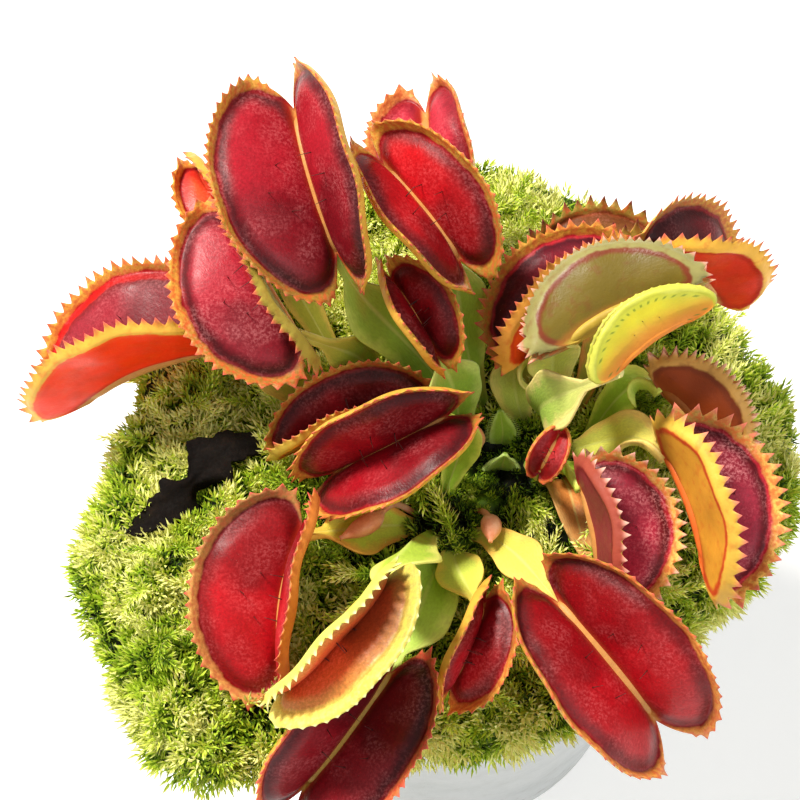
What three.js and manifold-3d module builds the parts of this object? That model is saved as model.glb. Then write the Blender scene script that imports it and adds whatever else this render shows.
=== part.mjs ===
// A potted venus flytrap: a plastic pot of peat under a cushion of moss, with four crowns
// whose leaves each carry a two-lobed trap with a toothed rim.
// Millimetres, +Z up, the origin at the middle of the pot's flat underside.
import * as THREE from 'three';
import { mergeVertices } from 'three/addons/utils/BufferGeometryUtils.js';
import Module from 'manifold-3d';

const wasm = await Module();
wasm.setup();

// Driving dimensions
const DEG = Math.PI / 180;
const GAP = 0.3;
const SLIVER = 0.04;
const POT = {
  rim: 46, rimDepth: 9, top: 44, base: 33, height: 88, wall: 1.6, lip: 1.2, floor: 2.2, sides: 28,
};
const DRAIN = { count: 6, ring: 22, radius: 3.2, sides: 8 };
const PEAT_TOP = 84;
const MOSS = { middle: 93, edgeDrop: 5, hem: 79, around: 38, rings: 7, lump: 1.3, throat: 3.4 };
const CROWNS = {
  a: { at: [5, -3, 88], bulb: 5.2 },
  b: { at: [15, -5, 88], bulb: 5 },
  c: { at: [0, -18, 88], bulb: 4.6 },
  d: { at: [-10, 1, 88], bulb: 4.2 },
};
const BLADE = { thick: 1.0, thin: 0.7, edge: 0.7, band: 1.3, tooth: 2.9, least: 0.2, rimTilt: 40 };
const TEETH = { perSize: 0.62, most: 11, bigTrap: 12.5 };
const LOBE = {
  long: 0.88, deep: 0.4, middle: 0.62, hinge: 0.8, notch: 0.15, rib: 0.75, ribSwell: 0.3,
  ribSteps: [0, 0.3, 0.62, 0.9, 1.148],
};
const STALK = { half: 0.38, keel: 1.1, fold: 14, steps: 7, neck: 0.8, clear: 0.4 };

// The edge of the moss: [heading in degrees, distance from the middle in mm]
const MOSS_EDGE = [
  [0, 53], [15, 48], [45, 46], [75, 47], [105, 52], [125, 49], [145, 50], [160, 47], [175, 46],
  [190, 51], [209, 60], [233, 66], [250, 56], [270, 50], [290, 49], [318, 47.5], [336, 51], [348, 54],
];

// One row a leaf. crown: the rhizome it grows from. root: the heading and rise at which it
// leaves the rhizome. at: where the trap joins its stalk. aim: the midrib's heading and rise,
// and the trap's roll about it. size: the midrib's length. open: how far each lobe leans from
// the closed plane. blade: the stalk's greatest width. bend: the two points that steer the
// stalk's curve. face: which way the stalk's upper side faces. wide, arch, curl, splay, tooth
// and tilt change one trap's depth, droop, cupping, spread, teeth and their lean.
const LEAVES = [
  { name: '01', crown: 'a', root: [140, 52], at: [-16, 7.7, 124.5], aim: [110, 28, -24], size: 16.8,
    open: [45, 37], blade: 9, wide: 1.15, splay: 4, bend: [[-4.2, 6.6, 103], [-13.8, 3, 116.5]] },
  { name: '02', crown: 'd', root: [110, 50], at: [-22, 0, 114], aim: [123, 21, -56], size: 14.6,
    open: [42, 42], blade: 7, wide: 1.1, bend: [[-11, 5, 101], [-14, -1, 111]] },
  { name: '03', crown: 'd', root: [205, 25], at: [-36, 4.2, 103.8], aim: [-173, -24, 28], size: 17.8,
    open: [40, 44], blade: 6, wide: 1.15, bend: [[-18, -2, 97], [-27, 1, 106]] },
  { name: '04', crown: 'd', root: [130, 20], at: [-29, 21, 109], aim: [136, 23, -46], size: 9,
    open: [35, 35], blade: 5 },
  { name: '05', crown: 'a', root: [85, 55], at: [1, 8, 122.9], aim: [132, 24, -8], size: 13,
    open: [42, 40], blade: 8, wide: 1.08, bend: [[2.1, 6, 103], [0.6, 11.5, 116]] },
  { name: '06', crown: 'a', root: [110, 25], at: [-0.8, 20, 118.5], aim: [103, 19, -30],
    size: 11.2, open: [62, 62], blade: 6 },
  { name: '07', crown: 'a', root: [235, 15], at: [-6.5, -4, 101], aim: [-163, -4, 13], size: 13,
    open: [36, 20], blade: 7, wide: 0.9, bend: [[-1, -9.5, 94], [-3, -6.5, 97]] },
  { name: '08', crown: 'c', root: [97, 45], at: [-1, -10.5, 109], aim: [-164, -26, -27], size: 14.5,
    open: [40, 32], blade: 6, wide: 1.1, bend: [[1, -12, 99], [4.5, -9.5, 107]] },
  { name: '09', crown: 'a', root: [190, 55], at: [-2.4, -2.1, 114], aim: [123, 24, -4], size: 8.4,
    open: [30, 38], blade: 9, wide: 1.2, bend: [[2, -3, 101], [0, -3.5, 110]] },
  { name: '10', crown: 'b', root: [150, 50], at: [11.7, 1.5, 109], aim: [43, 24, -38],
    size: 12.8, open: [36, 33], blade: 7, bend: [[10.4, -1, 97], [8, 1, 103]] },
  { name: '11', crown: 'b', root: [95, 50], at: [16.2, -6.2, 122.9], aim: [24, 13, -92],
    size: 12.4, open: [20, 22], blade: 8, wide: 1.03, curl: -16,
    bend: [[17.2, 4.4, 99], [12.4, 0.6, 115]], face: [0.2, -1, 0.3] },
  { name: '12', crown: 'b', root: [50, 20], at: [30, 10, 118], aim: [15, -47, -15], size: 13.6,
    open: [36, 32], blade: 6, bend: [[22.5, 5, 96], [23.5, 7.5, 120]] },
  { name: '13', crown: 'a', root: [50, 25], at: [16, 15, 105], aim: [18, 0, -29], size: 11.8,
    open: [33, 33], blade: 6 },
  { name: '14', crown: 'b', root: [50, 65], at: [22.2, -11.6, 124.6], aim: [35, 17, -53], size: 11.2,
    open: [9, 9], blade: 12, wide: 0.78, curl: -30, tooth: 1.6, tilt: 10,
    bend: [[16, -3, 100], [19, -8, 113]], face: [0.1, -0.5, 0.85] },
  { name: '15', crown: 'b', root: [0, 20], at: [31, -4, 106], aim: [-45, -21, -59], size: 10,
    open: [16, 16], blade: 6, curl: -20, tilt: 20, bend: [[24, -1, 97], [28, 0, 107]] },
  { name: '16', crown: 'b', root: [335, 50], at: [31, -16, 108], aim: [-68, -19, -45], size: 13.5,
    open: [40, 40], blade: 8, wide: 1.15 },
  { name: '17', crown: 'b', root: [290, 45], at: [19, -20, 106], aim: [-76, -24, -40], size: 11.3,
    open: [38, 38], blade: 6, wide: 1.3 },
  { name: '18', crown: 'c', root: [325, 45], at: [15, -38, 106], aim: [-45, -25, 16], size: 17.2,
    open: [46, 46], blade: 6.5, arch: 0.2, splay: 3 },
  { name: '19', crown: 'c', root: [262, 20], at: [-8.5, -46, 100], aim: [-131, -26, -25], size: 16.1,
    open: [44, 44], blade: 10, bend: [[-2, -27, 96], [-5, -39, 99]] },
  { name: '20', crown: 'c', root: [185, 25], at: [-21, -25.5, 102.5], aim: [-102, -24, 32], size: 15.4,
    open: [44, 44], blade: 7, wide: 1.12, bend: [[-8, -19.5, 94.5], [-16, -22.5, 97.5]] },
  { name: '21', crown: 'c', root: [232, 50], at: [-10, -40, 114.9], aim: [-136, -22, -36], size: 13.4,
    open: [24, 24], blade: 10, bend: [[-6.5, -27, 101], [-6, -36, 116]] },
  { name: '22', crown: 'c', root: [285, 35], at: [4.4, -37, 102.6], aim: [-114, -33, -26], size: 8.8,
    open: [34, 34], blade: 7, wide: 1.15, bend: [[0, -26, 96], [2, -32, 99.5]] },
  { name: '23', crown: 'b', root: [245, 50], at: [13, -17, 106], aim: [56, 41, 12], size: 4.1,
    open: [50, 50], blade: 4, bend: [[12, -10.5, 97], [11.2, -15, 101]], face: [1, -0.2, 0.3] },
];

// Small closed buds, each a path from its crown to the bud's tip
const BUD = { steps: 9, neck: 0.4, thread: 0.6, head: 1.7 };
const BUDS = [
  { name: 'bud_1', crown: 'c',
    path: [[-4.5, -16.5, 91], [-8, -17.5, 96], [-11, -21, 100], [-15.5, -23.5, 101]] },
  { name: 'bud_2', crown: 'c',
    path: [[3.5, -16, 91], [7.5, -17, 97], [8, -20.5, 101.5], [6, -25, 103.5]] },
  { name: 'bud_3', crown: 'a', path: [[4, -7, 91.5], [4, -9, 96], [4, -9, 99], [4, -7.5, 102]] },
];

// Flat leaves with no trap: young fringed ones, an old one that dried, and two that died
const FLAT_LEAVES = [
  { name: 'young_leaf_1', crown: 'a', colour: 0x7fae45,
    path: [[8, -6, 91.5], [8.2, -5.5, 96], [7.7, -4.5, 100.5]],
    steps: 8, half: 2, from: 0.1, fringe: 0.6, thick: 0.7, crease: 0, face: [0, -0.8, 0.4] },
  { name: 'young_leaf_2', crown: 'a', colour: 0x7fae45,
    path: [[7.8, -9, 90], [8, -10.5, 95], [8.3, -11, 99]],
    steps: 8, half: 2.2, from: 0.1, fringe: 0.6, thick: 0.7, crease: 0, face: [0, -0.8, 0.4] },
  { name: 'old_stalk', crown: 'b', colour: 0xb5793a,
    path: [[16.5, -9, 88], [17.5, -14, 95], [18.5, -20, 96.5], [20, -26, 94.5]],
    steps: 7, half: 3.2, from: 0.25, thick: 0.9, crease: 0.2, face: [0, 0, 1] },
  { name: 'dead_leaf', colour: 0x17130f,
    path: [[-28, -6, 93.6], [-33, -8, 95.4], [-37, -12, 93.5], [-40, -16, 93.8], [-47, -20, 91.2]],
    steps: 9, half: 4, from: 0.1, thick: 1.6, crease: 0.9, face: [0.2, 0, 1] },
];

// Helpers
const vec = (x, y, z) => new THREE.Vector3(x, y, z);
const mix = (a, b, t) => a + (b - a) * t;
const smooth = (t) => THREE.MathUtils.smoothstep(t, 0, 1);
const polar = (heading, r, z) => vec(r * Math.cos(heading * DEG), r * Math.sin(heading * DEG), z);

// A closed geometry as a solid, turned inside out first if its faces point in
function toSolid(geometry) {
  const bare = new THREE.BufferGeometry();
  bare.setAttribute('position', geometry.getAttribute('position').clone());
  if (geometry.index) bare.setIndex(geometry.index.clone());
  const merged = mergeVertices(bare, 1e-4);
  const points = merged.getAttribute('position').array;
  const tris = [];
  for (let i = 0; i < merged.index.count; i += 3) {
    const [a, b, c] = [0, 1, 2].map((k) => merged.index.getX(i + k));
    if (a !== b && b !== c && c !== a) tris.push(a, b, c);
  }
  const mesh = (list) => new wasm.Mesh({
    numProp: 3,
    vertProperties: new Float32Array(points),
    triVerts: new Uint32Array(list),
  });
  const solid = new wasm.Manifold(mesh(tris));
  if (solid.volume() > 0) return solid;
  const turned = [];
  for (let i = 0; i < tris.length; i += 3) turned.push(tris[i], tris[i + 2], tris[i + 1]);
  return new wasm.Manifold(mesh(turned));
}

function toGeometry(solid) {
  const mesh = solid.simplify(SLIVER).getMesh();
  const geometry = new THREE.BufferGeometry();
  const points = new Float32Array(mesh.numVert * 3);
  for (let i = 0; i < mesh.numVert; i += 1) {
    for (let k = 0; k < 3; k += 1) points[3 * i + k] = mesh.vertProperties[i * mesh.numProp + k];
  }
  geometry.setAttribute('position', new THREE.BufferAttribute(points, 3));
  geometry.setIndex(new THREE.BufferAttribute(new Uint32Array(mesh.triVerts), 1));
  return geometry;
}

// Cutting can leave loose scraps: the largest body stays
function largest(solid) {
  const bodies = solid.decompose();
  return bodies.reduce((best, body) => (body.volume() > best.volume() ? body : best), bodies[0]);
}

function skin(points, tris) {
  const geometry = new THREE.BufferGeometry();
  const numbers = points.flatMap((p) => p.toArray());
  geometry.setAttribute('position', new THREE.Float32BufferAttribute(numbers, 3));
  geometry.setIndex(tris);
  return geometry;
}

// A skin of quads over a grid of points: rows run one way, columns close on themselves
function closedGrid(rows, capStart, capEnd) {
  const width = rows[0].length;
  const points = rows.flat();
  const tris = [];
  const at = (i, j) => i * width + (j % width);
  for (let i = 0; i + 1 < rows.length; i += 1) {
    for (let j = 0; j < width; j += 1) {
      tris.push(at(i, j), at(i, j + 1), at(i + 1, j + 1), at(i, j), at(i + 1, j + 1), at(i + 1, j));
    }
  }
  const start = points.push(capStart) - 1;
  const end = points.push(capEnd) - 1;
  for (let j = 0; j < width; j += 1) {
    tris.push(start, at(0, j + 1), at(0, j));
    tris.push(end, at(rows.length - 1, j), at(rows.length - 1, j + 1));
  }
  return skin(points, tris);
}

function lathe(profile, sides) {
  const geometry = new THREE.LatheGeometry(profile.map(([r, z]) => new THREE.Vector2(r, z)), sides);
  geometry.rotateX(90 * DEG);
  return geometry;
}

// The trap's own axes: x along the midrib, z out of its mouth
function trapAxes([heading, rise, roll]) {
  const x = polar(heading, Math.cos(rise * DEG), Math.sin(rise * DEG));
  const side = vec(0, 0, 1).cross(x).normalize();
  const up = x.clone().cross(side);
  const y = side.multiplyScalar(Math.cos(roll * DEG)).addScaledVector(up, Math.sin(roll * DEG));
  return { x, y, z: x.clone().cross(y) };
}

// A point of a lobe's blade. s runs along the midrib and t away from it; lift is the distance
// from the blade's middle surface towards the mouth; reach goes past the blade along the rim,
// out by its first number and towards the mouth by its second.
function bladePoint(leaf, side, s, t, lift, reach = [0, 0], normal = [0, 1]) {
  const { x, y, z } = trapAxes(leaf.aim);
  const curl = (leaf.curl ?? 18) * DEG;
  const lean = leaf.open[side > 0 ? 0 : 1] * DEG - curl / 2;
  const depth = lobeSize(leaf).deep * (1 + LOBE.hinge);
  const turn = lean + curl * (Math.max(t, 0) / depth);
  const radius = depth / curl;
  const out = t < 0 ? t * Math.sin(lean) : radius * (Math.cos(lean) - Math.cos(turn));
  const up = t < 0 ? t * Math.cos(lean) : radius * (Math.sin(turn) - Math.sin(lean));
  const droop = 0.5 * (leaf.arch ?? 0.14) * leaf.size * ((s - leaf.size / 2) / (leaf.size / 2)) ** 2;
  const inward = vec(0, -Math.cos(turn), Math.sin(turn));
  const away = vec(normal[0], normal[1] * Math.sin(turn), normal[1] * Math.cos(turn));
  const local = vec(s, out, up - droop);
  local.addScaledVector(away, reach[0]).addScaledVector(inward, lift + reach[1]);
  const point = vec(...leaf.at);
  return point.addScaledVector(x, local.x).addScaledVector(y, local.y * side).addScaledVector(z, local.z);
}

function lobeSize(leaf) {
  return { long: LOBE.long * leaf.size, deep: LOBE.deep * leaf.size * (leaf.wide ?? 1) };
}

// The lobe's outline round its middle, an ellipse that the midrib cuts: evenly spaced points of
// the rim, each with how far its band or tooth reaches, then points back along the midrib
function lobeOutline(leaf, teeth, plain) {
  const { long, deep } = lobeSize(leaf);
  const centre = [LOBE.middle * leaf.size, LOBE.hinge * deep];
  const first = -Math.asin(LOBE.hinge);
  const last = Math.PI - first;
  const fine = 200;
  const walk = [0];
  const spot = (k) => mix(last, first, k / fine);
  for (let k = 1; k <= fine; k += 1) {
    const ds = long * (Math.cos(spot(k)) - Math.cos(spot(k - 1)));
    const dt = deep * (Math.sin(spot(k)) - Math.sin(spot(k - 1)));
    walk.push(walk[k - 1] + Math.hypot(ds, dt));
  }
  const rim = [];
  const steps = 2 * teeth;
  for (let j = 1; j < steps; j += 1) {
    const target = (walk[fine] * j) / steps;
    const k = walk.findIndex((w) => w >= target);
    const angle = spot(k - 1 + (target - walk[k - 1]) / (walk[k] - walk[k - 1]));
    const normal = new THREE.Vector2(Math.cos(angle) / long, Math.sin(angle) / deep).normalize();
    const fade = smooth((normal.y + 0.4) / 0.8);
    const full = j % 2 || plain ? leaf.tooth ?? BLADE.tooth : BLADE.band;
    const tilt = (leaf.tilt ?? BLADE.rimTilt) * fade * DEG;
    const reach = mix(BLADE.least, full, fade);
    const t = Math.max(deep * Math.sin(angle), LOBE.notch * leaf.size - centre[1]);
    rim.push({ s: long * Math.cos(angle), t, normal: normal.toArray(), reach, tilt });
  }
  const rib = LOBE.ribSteps.map((u) => ({ s: u * leaf.size - centre[0], t: -centre[1] }));
  return { centre, rim, rib };
}

// A trap is one folded sheet: two lobes that share the points of the midrib between them
function trapSolid(leaf, grow, plain) {
  const teeth = plain ? 4 : Math.max(5, Math.min(TEETH.most, Math.round(leaf.size * TEETH.perSize)));
  const rings = leaf.size > TEETH.bigTrap ? [0.6] : [];
  const { centre, rim, rib } = lobeOutline(leaf, teeth, plain);
  const splay = (leaf.splay ?? 0) * DEG;
  const thick = Math.max(BLADE.thin, BLADE.thick * Math.min(1, leaf.size / 9));
  const { z } = trapAxes(leaf.aim);
  const points = [];
  const tris = [];
  const put = (point) => points.push(point) - 1;
  const triangle = (flip, a, b, c) => (flip ? tris.push(a, c, b) : tris.push(a, b, c));
  const band = (flip, near, far) => {
    for (let k = 0; k + 1 < near.length; k += 1) {
      triangle(flip, near[k], far[k], far[k + 1]);
      triangle(flip, near[k], far[k + 1], near[k + 1]);
    }
  };
  const hinge = [1, -1].map((sign) => LOBE.ribSteps.map((u) => {
    const half = (LOBE.rib + LOBE.ribSwell * Math.sin(2.7 * u)) * Math.min(1, leaf.size / 9) + grow;
    const s = u * leaf.size + (u > 0 ? grow : -grow);
    return put(bladePoint(leaf, 1, s, 0, 0).addScaledVector(z, sign * half));
  }));
  for (const side of [1, -1]) {
    const place = (ds, dt, lift, reach, normal) => {
      const s = centre[0] + ds * Math.cos(splay) - (centre[1] + dt) * Math.sin(splay);
      const t = (centre[0] + ds) * Math.sin(splay) + (centre[1] + dt) * Math.cos(splay);
      return put(bladePoint(leaf, side, s, t, lift, reach, normal));
    };
    const borders = [1, -1].map((sign, k) => {
      const flip = sign * side < 0;
      const lift = sign * (thick / 2 + grow);
      const edge = rim.map((e) => place(e.s, e.t, lift));
      const back = [...hinge[k]].reverse();
      const rows = rings.map((scale) => {
        const around = [rib[0], ...rim, ...[...rib].reverse()];
        const loop = around.map((e) => place(e.s * scale, e.t * scale, lift));
        loop[loop.length - 1] = loop[0];
        return loop;
      });
      rows.push([hinge[k][0], ...edge, ...back]);
      const middle = place(0, 0, lift);
      for (let j = 0; j + 1 < rows[0].length; j += 1) triangle(flip, middle, rows[0][j], rows[0][j + 1]);
      for (let r = 0; r + 1 < rows.length; r += 1) band(flip, rows[r], rows[r + 1]);
      const rimLift = sign * (BLADE.edge / 2 + grow);
      const tips = rim.map((e) => {
        const reach = e.reach + grow;
        return place(e.s, e.t, rimLift, [reach * Math.cos(e.tilt), reach * Math.sin(e.tilt)], e.normal);
      });
      const ends = [hinge[k][0], hinge[k][hinge[k].length - 1]];
      const border = [ends[0], ...tips, ends[1]];
      band(flip, [ends[0], ...edge, ends[1]], border);
      return border;
    });
    band(side < 0, borders[0], borders[1]);
  }
  return toSolid(skin(points, tris));
}

// A tube through a row of points with a flat or round section, for midribs, stalks and roots
function sweep(path, section, faceAt) {
  const rows = path.map((point, i) => {
    const before = path[Math.max(i - 1, 0)];
    const after = path[Math.min(i + 1, path.length - 1)];
    const along = after.clone().sub(before).normalize();
    const across = faceAt(i / (path.length - 1)).clone().cross(along).normalize();
    const up = along.clone().cross(across);
    return section(i / (path.length - 1)).map(([b, n]) => (
      point.clone().addScaledVector(across, b).addScaledVector(up, n)
    ));
  });
  return toSolid(closedGrid(rows, path[0], path[path.length - 1]));
}

const ring = (radius, sides) => Array.from({ length: sides }, (_, k) => (
  [radius * Math.cos((2 * Math.PI * k) / sides), radius * Math.sin((2 * Math.PI * k) / sides)]
));

// A leaf stalk: narrow at the crown, a broad keeled blade further out, a thin neck at the trap
function stalkWidth(leaf, u) {
  const rise = mix(0.3, 1, smooth(u / 0.6));
  const fall = mix(1, 0, smooth((u - 0.6) / 0.32));
  return Math.max(STALK.neck, (leaf.blade / 2) * Math.min(rise, fall));
}

function stalkPath(leaf) {
  const crown = CROWNS[leaf.crown];
  const [heading, rise] = leaf.root;
  const out = polar(heading, Math.cos(rise * DEG), Math.sin(rise * DEG));
  const start = vec(...crown.at).addScaledVector(out, crown.bulb + GAP + STALK.clear);
  const neck = bladePoint(leaf, 1, 0, 0, 0);
  const into = bladePoint(leaf, 1, 0.05 * leaf.size, 0, 0).sub(neck).normalize();
  const end = neck.clone().addScaledVector(into, -GAP);
  const span = start.distanceTo(end);
  const bend = leaf.bend?.map((p) => vec(...p)) ?? [
    start.clone().addScaledVector(out, 0.4 * span),
    end.clone().addScaledVector(into, -0.3 * span),
  ];
  return new THREE.CubicBezierCurve3(start, ...bend, end).getPoints(STALK.steps);
}

function stalkSolid(leaf, grow = 0) {
  const mouth = leaf.face ? vec(...leaf.face).normalize() : trapAxes(leaf.aim).z;
  const upwards = leaf.face ? mouth : vec(0, -0.4, 1).normalize();
  const faceAt = (u) => upwards.clone().lerp(mouth, smooth((u - 0.4) / 0.6));
  const section = (u) => {
    const half = stalkWidth(leaf, u) + grow;
    const rise = half * Math.tan(STALK.fold * DEG);
    const thin = STALK.half + grow;
    return [[half, rise + thin], [0, thin], [-half, rise + thin], [-half, rise - thin],
      [0, -STALK.keel - grow], [half, rise - thin]];
  };
  return sweep(stalkPath(leaf), section, faceAt);
}

// A rhizome: a scaly bulb with a few roots that run down into the peat
function rhizomeSolid(crown, grow = 0) {
  const r = crown.bulb + grow;
  const bulb = new THREE.SphereGeometry(r, 8, 5);
  bulb.rotateX(90 * DEG);
  bulb.scale(1, 1, 0.95);
  bulb.translate(...crown.at);
  let solid = toSolid(bulb);
  for (const heading of [20, 140, 260]) {
    const path = [0, 1].map((u) => {
      const drift = polar(heading + 40 * u, 1.5 + 5 * u, -40 * u - 1);
      return drift.add(vec(...crown.at));
    });
    solid = solid.add(sweep(path, (u) => ring(mix(0.9, 0.5, u) + grow, 4), () => vec(1, 0.2, 0)));
  }
  return solid;
}

// Small repeatable bumps: sums of sines that never line up
function lumps(x, y) {
  return 0.5 * Math.sin(0.31 * x + 1.3) * Math.cos(0.27 * y - 0.4)
    + 0.3 * Math.sin(0.62 * x - 0.5 * y + 2) + 0.2 * Math.cos(0.9 * x + 0.8 * y);
}

function mossEdge(heading) {
  const turn = ((heading % 360) + 360) % 360;
  const next = MOSS_EDGE.findIndex(([h]) => h > turn);
  const [h1, r1] = next < 0 ? [360, MOSS_EDGE[0][1]] : MOSS_EDGE[next];
  const [h0, r0] = MOSS_EDGE[next < 0 ? MOSS_EDGE.length - 1 : next - 1];
  return mix(r0, r1, smooth((turn - h0) / (h1 - h0)));
}

function mossHeight(x, y) {
  const reach = Math.hypot(x, y) / mossEdge(Math.atan2(y, x) / DEG);
  return MOSS.middle - MOSS.edgeDrop * reach ** 3 + MOSS.lump * lumps(x, y);
}

// The cushion of moss: a lumpy dome that fills the top of the pot and hangs over its rim
function mossSolid() {
  const rows = [];
  const around = Array.from({ length: MOSS.around }, (_, j) => (360 * j) / MOSS.around);
  const row = (scale, height) => around.map((h) => {
    const r = mossEdge(h) * scale;
    const spot = polar(h, r, 0);
    return spot.setZ(height(spot.x, spot.y, h));
  });
  for (let i = 1; i <= MOSS.rings; i += 1) {
    rows.push(row((0.96 * i) / MOSS.rings, mossHeight));
  }
  rows.push(row(1, (x, y, h) => mix(mossHeight(x, y), MOSS.hem, 0.45) + Math.sin(7 * h * DEG)));
  rows.push(row(0.97, (x, y, h) => MOSS.hem + 1.2 * Math.sin(5 * h * DEG)));
  const dome = toSolid(closedGrid(rows, vec(0, 0, mossHeight(0, 0)), vec(0, 0, MOSS.hem)));
  const inside = POT.rim - POT.wall - POT.lip - GAP;
  const potSpace = toSolid(lathe([
    [0, 20], [0, PEAT_TOP + GAP], [inside, PEAT_TOP + GAP], [inside, POT.height + GAP],
    [POT.rim + GAP, POT.height + GAP], [POT.rim + GAP, 20], [0, 20],
  ], POT.sides));
  return dome.subtract(potSpace);
}

function potSolid() {
  const { rim, rimDepth, top, base, height, wall, lip, floor } = POT;
  const slope = (z) => mix(base, top, z / (height - rimDepth));
  const shell = toSolid(lathe([
    [0, 0], [base - 1, 0], [base, 1], [top, height - rimDepth], [rim, height - rimDepth + 1],
    [rim, height - 1], [rim - 1, height], [rim - wall - lip, height],
    [rim - wall - lip, height - rimDepth], [slope(floor) - wall, floor], [0, floor], [0, 0],
  ], POT.sides));
  let solid = shell;
  for (let k = 0; k < DRAIN.count; k += 1) {
    const hole = new THREE.CylinderGeometry(DRAIN.radius, DRAIN.radius, 3 * floor, DRAIN.sides);
    hole.rotateX(90 * DEG);
    hole.translate(...polar((360 * k) / DRAIN.count, DRAIN.ring, floor / 2).toArray());
    solid = solid.subtract(toSolid(hole));
  }
  return solid;
}

function peatSolid() {
  const { rim, rimDepth, base, height, wall, lip, floor } = POT;
  const neck = rim - wall - lip - GAP;
  return toSolid(lathe([
    [0, floor + GAP], [base - wall - GAP, floor + GAP], [neck - 0.2, height - rimDepth],
    [neck - 0.2, PEAT_TOP], [0, PEAT_TOP], [0, floor + GAP],
  ], POT.sides));
}

// A small closed bud on its thread of a stalk
function budSolid(bud, grow = 0) {
  const path = new THREE.CatmullRomCurve3(bud.path.map((p) => vec(...p))).getPoints(BUD.steps);
  const radius = (u) => {
    const swell = Math.sin(Math.PI * mix(0.12, 0.97, (u - BUD.neck) / (1 - BUD.neck)));
    return grow + (u < BUD.neck ? BUD.thread : Math.max(0.6 * BUD.thread, BUD.head * swell));
  };
  return sweep(path, (u) => ring(radius(u), 6), () => vec(0.2, 0.1, 1));
}

// A flat leaf of a few steps: a young one has a fringe, an old one has lost its trap
function flatSolid(leaf, grow = 0) {
  const path = new THREE.CatmullRomCurve3(leaf.path.map((p) => vec(...p))).getPoints(leaf.steps);
  const half = (u) => {
    const wide = leaf.half * Math.sin(Math.PI * mix(leaf.from, 0.97, u)) ** 0.8;
    const fringe = leaf.fringe && Math.round(u * leaf.steps) % 2 ? leaf.fringe : 0;
    return Math.max(0.5, wide + fringe) + grow;
  };
  const section = (u) => {
    const crease = leaf.crease * Math.sin(9 * u);
    const thin = leaf.thick / 2 + grow;
    return [[half(u), crease + thin], [0, thin], [-half(u), thin - crease],
      [-half(u), -crease - thin], [0, -thin - 0.3], [half(u), crease - thin]];
  };
  return sweep(path, section, () => vec(...leaf.face));
}

// What is planted, as name, colour and a function that makes it, swollen by grow
const red = 0xa3152a;
const plants = [];
const plant = (name, colour, make, crown, trap) => plants.push({ name, colour, make, crown, trap });
for (const leaf of LEAVES) {
  const trap = (grow, plain) => trapSolid(leaf, grow, plain);
  plant(`trap_${leaf.name}`, red, trap);
  plant(`stalk_${leaf.name}`, 0x9aae3a, (grow) => stalkSolid(leaf, grow), leaf.crown, trap);
}
for (const bud of BUDS) plant(bud.name, 0xd9774f, (grow) => budSolid(bud, grow), bud.crown);
for (const leaf of FLAT_LEAVES) {
  plant(leaf.name, leaf.colour, (grow) => flatSolid(leaf, grow), leaf.crown);
}

const rhizomes = Object.entries(CROWNS).map(([key, crown]) => ({ name: `rhizome_${key}`, key, crown }));
const swollenRhizomes = rhizomes.map(({ crown }) => rhizomeSolid(crown, GAP));

// Round each crown the moss leaves a plain funnel, and it gives way to whatever lies in it
function throatSolid({ at: [x, y, z], bulb }) {
  const funnel = lathe([[0, z], [bulb + GAP, z], [bulb + MOSS.throat, z + 9], [0, z + 9], [0, z]], 10);
  return toSolid(funnel.translate(x, y, 0));
}

function cutIfTouching(solid, tool) {
  return solid.intersect(tool).volume() > 0 ? solid.subtract(tool) : solid;
}

const pot = potSolid();
let peat = peatSolid();
let moss = mossSolid();
for (const [k, { crown }] of rhizomes.entries()) {
  peat = peat.subtract(swollenRhizomes[k]);
  moss = moss.subtract(swollenRhizomes[k]).subtract(throatSolid(crown));
}
for (const { make } of plants) moss = cutIfTouching(moss, make(GAP, true));
moss = largest(moss);

const group = new THREE.Group();
function add(name, colour, roughness, solid) {
  const material = new THREE.MeshStandardMaterial({ color: colour, roughness, metalness: 0 });
  const mesh = new THREE.Mesh(toGeometry(solid), material);
  mesh.name = name;
  group.add(mesh);
}

add('pot', 0xa9adab, 0.5, pot);
add('peat', 0x2b1d14, 0.95, peat);
add('moss', 0x6f8a24, 0.95, moss);
for (const { name, crown } of rhizomes) add(name, 0xe8dcc0, 0.6, rhizomeSolid(crown));
for (const { name, colour, make, crown, trap } of plants) {
  let solid = make(0);
  if (crown) {
    for (const swollen of swollenRhizomes) solid = cutIfTouching(solid, swollen);
  }
  if (trap) solid = cutIfTouching(solid, trap(GAP, false));
  add(name, colour, 0.45, largest(solid));
}

export default group;
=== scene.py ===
import math

import bmesh
import bpy
import numpy as np
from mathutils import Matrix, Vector
from mathutils.bvhtree import BVHTree


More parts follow.
